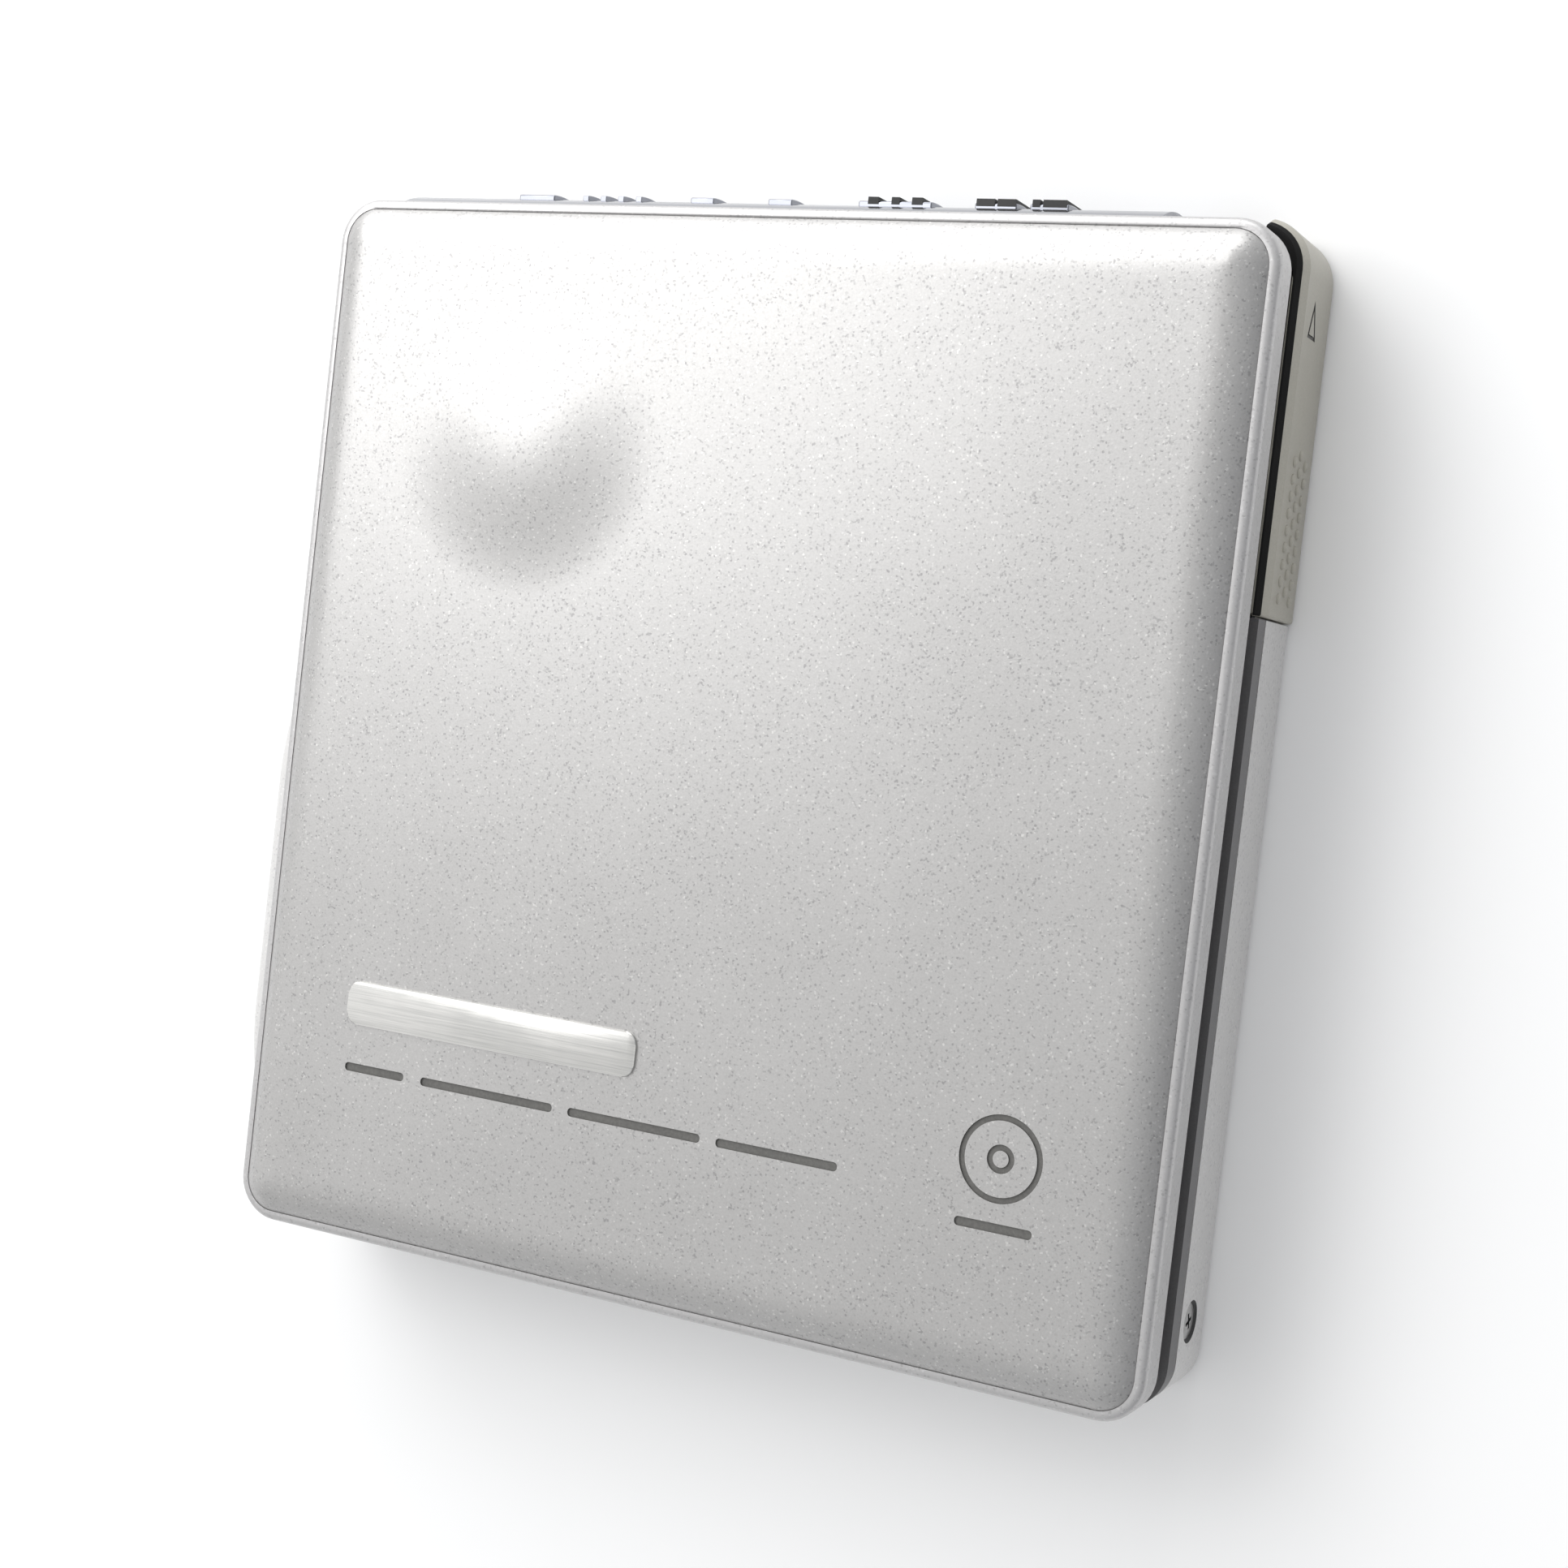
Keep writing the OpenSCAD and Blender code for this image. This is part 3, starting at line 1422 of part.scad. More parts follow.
module turntable_magnet() {
    color(GREY)
        translate([0, 0, table_z + table_t])
            difference() {
                cylinder(r = magnet_r, h = magnet_h);
                cylinder(r = hub_r, h = FAR);
            }
}

module pickup_sled() {
    fork = sub_rail_r + fork_gap;
    color(BLACK)
        difference() {
            union() {
                box([-sled_half, sled_y0, sled_z], [sled_half, sled_y1, sled_top]);
                box([sled_half - EPS, sled_y0, rail_axis - bush_h],
                    [main_rail_x + bush_half, sled_y1, rail_axis + bush_h]);
                box([sub_rail_x - bush_half, sled_y0 + sled_near, rail_axis - bush_h],
                    [-sled_half + EPS, sled_y1 - nut_wall, rail_axis + bush_h]);
                box([main_rail_x, nut_y, rail_axis - nut_half],
                    [screw_x + nut_half, nut_y + nut_len, rail_axis + nut_half]);
            }
            bar_y(main_rail_x, -FAR, rail_axis, main_rail_r + pin_fit, 2 * FAR);
            bar_y(screw_x, -FAR, rail_axis, screw_r + pin_fit, 2 * FAR);
            box([-FAR, -FAR, rail_axis - fork], [sub_rail_x + fork, FAR, rail_axis + fork]);
        }
}

module lens_holder() {
    color(GREY)
        difference() {
            translate([-lens_side / 2, -lens_y - lens_side / 2, sled_top])
                cube([lens_side, lens_side, lens_h]);
            translate([0, -lens_y, sled_top])
                cylinder(r = lens_r, h = FAR);
        }
}

module objective_lens() {
    ball = (lens_r * lens_r + lens_bulge * lens_bulge) / (2 * lens_bulge);
    color(GREY)
        translate([0, -lens_y, sled_top]) {
            cylinder(r = lens_r, h = lens_h);
            intersection() {
                translate([0, 0, lens_h + lens_bulge - ball])
                    sphere(ball, $fn = 96);
                translate([0, 0, lens_h - EPS])
                    cylinder(r = lens_r, h = lens_bulge + EPS);
            }
        }
}

module lead_screw() {
    tip_y = chassis_y0 + pin_fit;
    low_y = chassis_y0 + rail_post_t + pin_fit;
    high_y = -sled_motor_y - pin_fit;
    color(STEEL) {
        bar_y(screw_x, low_y, rail_axis, screw_r, high_y - low_y);
        bar_y(screw_x, tip_y, rail_axis, journal_r, nut_len / 2 - sled_motor_y - tip_y);
    }
}

module battery_door() {
    low = floor_t + door_gap / 2;
    color(SILVER)
        difference() {
            union() {
                box([door_x0, -half_l, low], [pivot_x, -inner_l, split_z - door_gap / 2]);
                box([door_x0, -half_l, low],
                    [pivot_x - knuckle_door - 2 * door_gap, -inner_l, deck_z - door_gap / 2]);
                translate([pivot_x, pivot_y, low])
                    cylinder(r = knuckle_door, h = split_z - door_gap / 2 - low);
            }
            translate([pivot_x, pivot_y, 0])
                cylinder(r = door_pin_r + pin_fit, h = FAR);
            box([door_x0 + grip_w, -half_l - EPS, batt_zc - contact_h / 2],
                [door_x0 + 2 * grip_w, grip_d - half_l, batt_zc + contact_h / 2]);
        }
}

module door_contact() {
    boss = batt_end - contact_gap;
    color(BRASS) {
        box([batt_xc - contact_w / 2, -inner_l, batt_zc - contact_h / 2],
            [batt_xc + contact_w / 2, contact_t - inner_l, batt_zc + contact_h / 2]);
        bar_y(batt_xc, -inner_l, batt_zc, contact_boss_r, boss);
    }
}

bottom_case();
mid_frame();
deck();
control_strip();
hinge_pin();
side_screws();
base_screws();
main_board();
board_chips();
key_board();
key_switches();
headphone_jack();
battery();
battery_contact();
mech_chassis();
chassis_dampers();
chassis_screws();
spindle_motor();
main_guide_rail();
sub_guide_rail();
sled_motor();
latch_spring();
door_pin();
lid_panel();
lid_rim();
lid_catch();
disc_holder();
open_lever();
latch_hook();
mode_key();
play_key();
back_key();
forward_key();
volume_rocker();
hold_slider();
turntable();
turntable_magnet();
pickup_sled();
lens_holder();
objective_lens();
lead_screw();
battery_door();
door_contact();
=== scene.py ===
import math

import bmesh
import bpy
from mathutils import Matrix, Vector


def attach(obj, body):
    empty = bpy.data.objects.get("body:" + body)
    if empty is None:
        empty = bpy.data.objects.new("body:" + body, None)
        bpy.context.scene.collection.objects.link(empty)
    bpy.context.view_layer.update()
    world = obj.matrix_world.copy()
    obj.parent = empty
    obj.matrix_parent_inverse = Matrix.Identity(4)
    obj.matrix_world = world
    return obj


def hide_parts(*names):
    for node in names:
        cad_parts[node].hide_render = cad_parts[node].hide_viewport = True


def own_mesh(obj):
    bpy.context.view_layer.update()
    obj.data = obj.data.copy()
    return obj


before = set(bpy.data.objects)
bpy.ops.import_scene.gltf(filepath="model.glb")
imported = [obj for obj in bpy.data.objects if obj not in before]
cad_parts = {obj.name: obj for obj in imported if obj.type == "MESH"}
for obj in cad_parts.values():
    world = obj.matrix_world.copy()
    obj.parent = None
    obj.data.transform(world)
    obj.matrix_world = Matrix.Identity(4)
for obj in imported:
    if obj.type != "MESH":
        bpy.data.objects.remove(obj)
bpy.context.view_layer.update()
mm = 0.001
scene = bpy.context.scene
scene.view_settings.view_transform = "Standard"   # plain sRGB, so the tones below are the tones seen
print("frame loaded with", len(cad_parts), "nodes")

# camera of the photograph: above the lid, on the lever side
view = {
    "place": (79.37, 6.03, 164.21),
    "right": (0.8921, 0.1135, -0.4373),
    "down": (0.1194, -0.9928, -0.0142),
    "forward": (-0.4358, -0.0396, -0.8992),
    "lens": 56.85, "sensor": 36.0, "nearest": 10.0,
}


def setCamera():
    lens = bpy.data.cameras.new("camera")
    lens.lens = view["lens"]
    lens.sensor_width = view["sensor"]
    lens.clip_start = view["nearest"] * mm
    camera = bpy.data.objects.new("camera", lens)
    right, down, forward = (Vector(view[k]) for k in ("right", "down", "forward"))
    turn = Matrix((right, -down, -forward)).transposed().to_4x4()
    camera.matrix_world = Matrix.Translation(Vector(view["place"]) * mm) @ turn
    scene.collection.objects.link(camera)
    scene.camera = camera


setCamera()
print("camera set")


def addNode(tree, kind, links=None, out=0, **settings):
    node = tree.nodes.new(kind)
    for key, value in settings.items():
        setattr(node, key, value)
    for key, value in (links or {}).items():
        if isinstance(value, list):                # several links into one socket
            for socket in value:
                tree.links.new(socket, node.inputs[key])
        elif isinstance(value, bpy.types.NodeSocket):
            tree.links.new(value, node.inputs[key])
        else:
            node.inputs[key].default_value = value
    return node.outputs[out] if node.outputs else node


def toLinear(hexColour):
    parts = [int(hexColour[i:i + 2], 16) / 255 for i in (1, 3, 5)]
    return [p / 12.92 if p <= 0.04045 else ((p + 0.055) / 1.055) ** 2.4 for p in parts] + [1.0]


# One entry for each finish. tones run from dark to light over the mottle, with a dark and a light speck
# before and after them where there is flake. Sizes are in mm: grain is the width of the fine pattern,
# cloud the width of the slow drift in gloss, relief the height of the grain, and flake the width of a
# metal flake. stretch scales the grain along X, Y and Z, so a small value draws it out along that axis.
finishes = {
    # sprayed silver lacquer on pressed aluminium: coarse flake that glints or goes dark, slight orange peel
    "silverLacquer": {"tones": ("#9A9999", "#B0AFAE", "#BAB9B8", "#CFCECC"), "metallic": 0.85,
                      "rough": (0.35, 0.39), "grain": 0.16, "cloud": 16, "relief": 0.008, "flake": 0.13},
    # the same lacquer on the tray, the battery door and the hinge barrel, laid thinner and smoother
    "silverLacquerFine": {"tones": ("#C0BFBF", "#D1D0CF", "#D7D6D5", "#E3E2E1"), "metallic": 0.55,
                          "rough": (0.34, 0.42), "grain": 0.22, "cloud": 16, "relief": 0.003, "flake": 0.14},
    # lacquer on the rim, toned a shade darker all over than on the tray and the door
    "silverLacquerEdge": {"tones": ("#A8A7A7", "#B8B7B7", "#BEBDBD", "#CBCACA"), "metallic": 0.7,
                          "rough": (0.34, 0.42), "grain": 0.22, "cloud": 16, "relief": 0.003, "flake": 0.13},
    # mid grey moulded ABS with a satin spark texture
    "greyAbs": {"tones": ("#5D5C5D", "#686768"), "metallic": 0.0, "rough": (0.4, 0.5),
                "grain": 0.12, "cloud": 10, "relief": 0.004, "ior": 1.53},
    # black moulded ABS, spark eroded, toned darker as painted shade for the deck and the lever's edge under
    # the lid
    "mattBlackAbs": {"tones": ("#040404", "#090909"), "metallic": 0.0, "rough": (0.8, 0.92),
                     "grain": 0.15, "cloud": 8, "relief": 0.006, "ior": 1.35},
    # olive grey moulded ABS, handled until it is a little glossy
    "oliveAbs": {"tones": ("#A09D93", "#ABA89D"), "metallic": 0.0, "rough": (0.34, 0.46),
                 "grain": 0.14, "cloud": 6, "relief": 0.004, "ior": 1.53},
    # black moulded ABS with a satin spark texture; also painted shade in screw seats and recesses, and
    # painted shade and dark reflection on key ridges
    "blackAbs": {"tones": ("#0E0E0F", "#161617"), "metallic": 0.0, "rough": (0.45, 0.6),
                 "grain": 0.15, "cloud": 8, "relief": 0.006, "ior": 1.53},
    # black lacquered spring steel sheet
    "blackSheet": {"tones": ("#141416", "#1D1D1F"), "metallic": 0.0, "rough": (0.32, 0.42),
                   "grain": 0.2, "cloud": 12, "relief": 0.003, "ior": 1.5},
    # bright chrome on moulded plastic: mirror-like, with the faintest waviness
    "chromePlate": {"tones": ("#888A91", "#8F9198"), "metallic": 1.0, "rough": (0.08, 0.15),
                    "grain": 1.8, "cloud": 7, "relief": 0.001},
    # nickel plate with a fine hairline brush along X
    "brushedNickel": {"tones": ("#BEBEBC", "#E2E1DE"), "metallic": 1.0, "rough": (0.2, 0.3),
                      "grain": 0.12, "cloud": 8, "relief": 0.004, "stretch": (0.02, 1, 1)},
    # zinc plated screw steel, bright with a faint bloom
    "zincSteel": {"tones": ("#A3A3A4", "#BEBDBB"), "metallic": 1.0, "rough": (0.22, 0.36),
                  "grain": 0.3, "cloud": 2, "relief": 0.003},
    # drawn and ground steel rod
    "groundSteel": {"tones": ("#A6A7A9", "#B9BABC"), "metallic": 1.0, "rough": (0.16, 0.26),
                    "grain": 0.15, "cloud": 5, "relief": 0.002, "stretch": (1, 0.05, 1)},
    # pressed steel sheet with rolling marks
    "pressedSteel": {"tones": ("#8F9092", "#A3A4A6"), "metallic": 1.0, "rough": (0.28, 0.4),
                     "grain": 0.3, "cloud": 9, "relief": 0.003, "stretch": (1, 0.08, 1)},
    # turned aluminium, ring marks too fine to show so drawn as a soft drift
    "turnedAluminium": {"tones": ("#B2B3B5", "#C6C7C8"), "metallic": 1.0, "rough": (0.2, 0.32),
                        "grain": 0.25, "cloud": 4, "relief": 0.002},
    # die cast zinc, grey and finely pitted
    "castZinc": {"tones": ("#6B6C6E", "#7E7F80"), "metallic": 0.9, "rough": (0.4, 0.55),
                 "grain": 0.25, "cloud": 4, "relief": 0.01},
    # sintered ferrite: dull, dark and grainy
    "ferrite": {"tones": ("#343436", "#454548"), "metallic": 0.2, "rough": (0.5, 0.65),
                "grain": 0.2, "cloud": 3, "relief": 0.01, "ior": 1.8},
    # plated brass contact
    "platedBrass": {"tones": ("#B89A55", "#CDB06A"), "metallic": 1.0, "rough": (0.2, 0.32),
                    "grain": 0.3, "cloud": 3, "relief": 0.003},
    # green solder mask over glass epoxy
    "solderMask": {"tones": ("#0F4A2E", "#1A6440"), "metallic": 0.0, "rough": (0.25, 0.4),
                   "grain": 0.9, "cloud": 4, "relief": 0.01, "ior": 1.55},
    # moulded epoxy of chip packages, switches and the lens holder
    "mouldedEpoxy": {"tones": ("#1B1B1C", "#272728"), "metallic": 0.0, "rough": (0.5, 0.62),
                     "grain": 0.15, "cloud": 3, "relief": 0.006, "ior": 1.55},
    # shrunk sleeve of the flat cell
    "cellSleeve": {"tones": ("#3C5573", "#48648A"), "metallic": 0.0, "rough": (0.22, 0.32),
                   "grain": 1.4, "cloud": 10, "relief": 0.006, "ior": 1.49},
    # soft rubber bush
    "neoprene": {"tones": ("#151515", "#1E1E1E"), "metallic": 0.0, "rough": (0.7, 0.85),
                 "grain": 0.2, "cloud": 3, "relief": 0.01, "ior": 1.52},
    # painted shade in a stamped mark: its floor and walls a darker grey than the lacquer round it
    "markInk": {"tones": ("#5B5A58", "#6E6D6A"), "metallic": 0.2, "rough": (0.5, 0.62),
                "grain": 0.2, "cloud": 4, "relief": 0.004, "ior": 1.5},
    # coated lens glass: clear with a blue violet bloom
    "coatedGlass": {"tones": ("#A9B4DA", "#C3CCE6"), "metallic": 0.0, "rough": (0.03, 0.06),
                    "grain": 1.0, "cloud": 3, "relief": 0.0005, "ior": 1.6, "clear": 0.7},
}

# how the patterns mix: their shares, where the noise has its middle tones, and for the dark and the bright
# flakes the cell value where they start, where they are strongest and how far they push the tone
pattern = {
    "grain": {"Detail": 2.0, "Roughness": 0.55}, "cloud": {"Detail": 3.0, "Roughness": 0.6},
    "grainShare": 0.65, "cloudShare": 0.35, "middle": (0.3, 0.7),
    "flakes": ((0.15, 0.0, -0.5), (0.92, 1.0, 0.42)),
}


def makeFinish(name, spec):
    material = bpy.data.materials.new(name)
    material.use_nodes = True
    tree = material.node_tree
    tree.nodes.clear()
    place = addNode(tree, "ShaderNodeTexCoord", out="Object")
    along = place
    if "stretch" in spec:
        along = addNode(tree, "ShaderNodeMapping", {"Vector": place, "Scale": spec["stretch"]})
    grain = addNode(tree, "ShaderNodeTexNoise",
                    {"Vector": along, "Scale": 1 / (spec["grain"] * mm), **pattern["grain"]})
    cloud = addNode(tree, "ShaderNodeTexNoise",
                    {"Vector": place, "Scale": 1 / (spec["cloud"] * mm), **pattern["cloud"]})
    mottle = addNode(tree, "ShaderNodeMath", {0: grain, 1: pattern["grainShare"]}, operation="MULTIPLY")
    mottle = addNode(tree, "ShaderNodeMath", {0: cloud, 1: pattern["cloudShare"], 2: mottle},
                     operation="MULTIPLY_ADD")
    low, high = pattern["middle"]
    ramp = tree.nodes.new("ShaderNodeValToRGB")
    stops = ramp.color_ramp.elements
    stops[0].position, stops[1].position = low, high
    if "flake" in spec:   # each flake lies at its own angle, so a few look dark and a few glint
        cells = addNode(tree, "ShaderNodeTexVoronoi", {"Vector": place, "Scale": 1 / (spec["flake"] * mm)},
                        out="Color")
        cell = addNode(tree, "ShaderNodeSeparateColor", {"Color": cells})
        for start, end, push in pattern["flakes"]:
            turned = addNode(tree, "ShaderNodeMapRange",
                             {"Value": cell, "From Min": start, "From Max": end, "To Max": push})
            mottle = addNode(tree, "ShaderNodeMath", {0: mottle, 1: turned}, operation="ADD")
        for position in (0.0, 1.0):
            stops.new(position)
    for stop, tone in zip(stops, spec["tones"]):
        stop.color = toLinear(tone)
    tree.links.new(mottle, ramp.inputs[0])
    smooth, dull = spec["rough"]
    gloss = addNode(tree, "ShaderNodeMapRange",
                    {"Value": cloud, "From Min": low, "From Max": high, "To Min": smooth, "To Max": dull})
    bump = addNode(tree, "ShaderNodeBump",
                   {"Height": mottle, "Strength": 1.0, "Distance": spec["relief"] * mm})
    shader = addNode(tree, "ShaderNodeBsdfPrincipled",
                     {"Base Color": ramp.outputs[0], "Metallic": spec["metallic"], "Roughness": gloss,
                      "IOR": spec.get("ior", 1.5), "Transmission Weight": spec.get("clear", 0.0),
                      "Normal": bump})
    addNode(tree, "ShaderNodeOutputMaterial", {"Surface": shader})
    return material


finish = {name: makeFinish(name, spec) for name, spec in finishes.items()}
print("finishes made:", len(finish))


def toPiece(name, mesh, body, slotName, *nodes):
    piece = bpy.data.objects.new(name, mesh)
    scene.collection.objects.link(piece)
    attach(piece, body)
    if nodes:
        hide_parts(*nodes)
    return piece


def newHolder(name, mesh):
    holder = bpy.data.objects.new(name, mesh)
    scene.collection.objects.link(holder)
    return holder


def bakeMesh(holder):
    mesh = bpy.data.meshes.new_from_object(holder.evaluated_get(bpy.context.evaluated_depsgraph_get()))
    mesh.name = holder.name
    bpy.data.objects.remove(holder)
    return mesh


def shadeSmooth(mesh, sharpAngle):
    mesh.polygons.foreach_set("use_smooth", [True] * len(mesh.polygons))
    mesh.set_sharp_from_angle(angle=math.radians(sharpAngle))


# Geometry Nodes: sizes gives the tree its named inputs, build adds its nodes
def growMesh(name, sizes, build, base=None):
    kinds = {int: "NodeSocketInt", float: "NodeSocketFloat", bpy.types.Material: "NodeSocketMaterial",
             bpy.types.Object: "NodeSocketObject"}
    tree = bpy.data.node_groups.new(name, "GeometryNodeTree")
    tree.interface.new_socket("Geometry", in_out="OUTPUT", socket_type="NodeSocketGeometry")
    tree.interface.new_socket("Seats", in_out="INPUT", socket_type="NodeSocketGeometry")
    keys = {}
    for label, value in sizes.items():
        socket = tree.interface.new_socket(label, in_out="INPUT", socket_type=kinds[type(value)])
        keys[label] = socket.identifier
    entry = tree.nodes.new("NodeGroupInput")
    size = {label: entry.outputs[label] for label in ["Seats", *sizes]}
    shape = build(tree, size)
    shape = addNode(tree, "GeometryNodeRealizeInstances", {0: shape})
    shape = addNode(tree, "GeometryNodeSetMaterial", {0: shape, "Material": size["Material"]})
    if "Inlay" in sizes:                            # marked faces take a second finish: painted shade in a screw's cross recess
        inlay = addNode(tree, "GeometryNodeInputNamedAttribute", {"Name": "inlay"}, data_type="BOOLEAN")
        shape = addNode(tree, "GeometryNodeSetMaterial",
                        {0: shape, "Selection": inlay, "Material": size["Inlay"]})
    addNode(tree, "NodeGroupOutput", {0: shape})
    holder = newHolder(name, base or bpy.data.meshes.new(name))
    modifier = holder.modifiers.new(name, "NODES")
    modifier.node_group = tree
    for label, value in sizes.items():
        modifier[keys[label]] = value
    return bakeMesh(holder)


# welding distance in mm, angles in degrees below which faces are merged or shaded as one, steps of an edge
soft = {"weld": 0.002, "merge": 0.4, "sharp": 32, "steps": 2}


# A CAD solid with its facets welded, its edges softened and its curved faces shaded smooth
def softCopy(nodeName, finishName, edge=0.0, splitZ=None):
    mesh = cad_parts[nodeName].data.copy()
    shell = bmesh.new()
    shell.from_mesh(mesh)
    bmesh.ops.remove_doubles(shell, verts=shell.verts, dist=soft["weld"] * mm)
    bmesh.ops.dissolve_limit(shell, angle_limit=math.radians(soft["merge"]),
                             verts=shell.verts, edges=shell.edges)
    if splitZ:                                      # faces are parted at this height, for a second finish
        bmesh.ops.bisect_plane(shell, geom=[*shell.verts, *shell.edges, *shell.faces],
                               plane_co=(0, 0, splitZ * mm), plane_no=(0, 0, 1))
    shell.to_mesh(mesh)
    shell.free()
    shadeSmooth(mesh, soft["sharp"])
    holder = newHolder(nodeName + "Soft", mesh)
    if edge:
        bevel = holder.modifiers.new("edge", "BEVEL")
        bevel.width = edge * mm
        bevel.segments = soft["steps"]
        bevel.limit_method = "ANGLE"
        bevel.angle_limit = math.radians(soft["sharp"])
        bevel.use_clamp_overlap = False
    weigh = holder.modifiers.new("normals", "WEIGHTED_NORMAL")
    weigh.keep_sharp = True
    mesh = bakeMesh(holder)
    mesh.materials.clear()
    mesh.materials.append(finish[finishName])
    return mesh


# which solid becomes which piece: name, body, slot, finish, softened edge in mm
dressed = {
    "bottom_case": ("caseTray", "case", "case_paint", "silverLacquerFine", 0),
    "mid_frame": ("shoulderRing", "case", "shoulder_plastic", "greyAbs", 0),
    # the deck is black plastic, toned darker still as painted shade in the gap under the lid
    "deck": ("deckPlate", "case", "black_plastic", "mattBlackAbs", 0),
    "control_strip": ("keyStrip", "case", "strip_chrome", "chromePlate", 0),
    "headphone_jack": ("headphoneSocket", "case", "black_plastic", "blackAbs", 0),
    "hinge_pin": ("hingePin", "case", "steel", "groundSteel", 0),
    "battery": ("flatCell", "case", "cell_wrap", "cellSleeve", 0),
    "mech_chassis": ("driveChassis", "case", "chassis_steel", "pressedSteel", 0),
    "spindle_motor": ("spindleMotor", "case", "motor_steel", "pressedSteel", 0.1),
    "main_guide_rail": ("mainGuideRail", "case", "steel", "groundSteel", 0),
    "sub_guide_rail": ("subGuideRail", "case", "steel", "groundSteel", 0),
    "sled_motor": ("sledMotor", "case", "motor_steel", "pressedSteel", 0.1),
    "lid_rim": ("lidRim", "lid", "rim_paint", "silverLacquerEdge", 0),
    "disc_holder": ("discHolder", "holder", "holder_black", "blackSheet", 0),
    "latch_hook": ("latchHook", "lever", "steel", "groundSteel", 0.06),
    "mode_key": ("modeKey", "mode", "key_chrome", "chromePlate", 0.1),
    "play_key": ("playKey", "play", "key_chrome", "chromePlate", 0.1),
    "back_key": ("backKey", "back", "key_chrome", "chromePlate", 0.1),
    "forward_key": ("forwardKey", "forward", "key_chrome", "chromePlate", 0.1),
    "volume_rocker": ("volumeRocker", "volume", "key_chrome", "chromePlate", 0.08),
    "hold_slider": ("holdSlide", "hold", "key_chrome", "chromePlate", 0.06),
    "turntable": ("discTable", "table", "turntable_steel", "turnedAluminium", 0.08),
    "turntable_magnet": ("tableMagnet", "table", "magnet_grey", "ferrite", 0.06),
    "pickup_sled": ("pickupSled", "sled", "sled_metal", "castZinc", 0),
    "lens_holder": ("lensHolder", "sled", "lens_holder_black", "mouldedEpoxy", 0.05),
    "objective_lens": ("objectiveLens", "sled", "lens_glass", "coatedGlass", 0),
    "battery_door": ("batteryDoor", "door", "case_paint", "silverLacquerFine", 0.08),
    "door_contact": ("doorContact", "door", "contact_brass", "platedBrass", 0),
}
sideSeats = ((36, -32.9, 3.9), (-36, 34.2, 3.9), (25, -38.5, 3.9))   # middle of each screw in the case side
# the case's screw seats take black as painted shade; the frame's hinge barrel takes the case's lacquer
second = {"bottom_case": "blackAbs", "mid_frame": "silverLacquerFine"}
secondPlace = {"seatRadius": 1.47, "barrelX": -36.05}


# the screw seats are black as painted shade in the holes, and the hinge barrel is lacquered with the case
def takesSecond(nodeName, corners):
    if nodeName == "mid_frame":
        return min(c.x for c in corners) < secondPlace["barrelX"]
    near = secondPlace["seatRadius"]
    return any(all((c - Vector(seat)).length < near for c in corners) for seat in sideSeats)


for nodeName, (name, body, slotName, finishName, edge) in dressed.items():
    mesh = softCopy(nodeName, finishName, edge)
    if nodeName in second:
        mesh.materials.append(finish[second[nodeName]])
        for face in mesh.polygons:
            face.material_index = takesSecond(nodeName, [mesh.vertices[i].co / mm for i in face.vertices])
    toPiece(name, mesh, body, slotName, nodeName)
print("solids dressed:", len(dressed))

# pressed lid: a flat field, edges that fall ever faster to the crease, and a round dome
lid = {
    "Half Width": 35.23, "Half Length": 37.73, "Corner": 2.43, "Top": 13.8,
    "Fall Width": 3.6, "Fall": 1.19, "Fall Power": 3.0,
    "Dome X": -16.9, "Dome Y": 21.2, "Dome Radius": 11.0, "Dome Rise": 0.9,
    "Core Share": 0.82, "Cells Across": 168, "Cells Along": 176, "Material": finish["silverLacquer"],
}


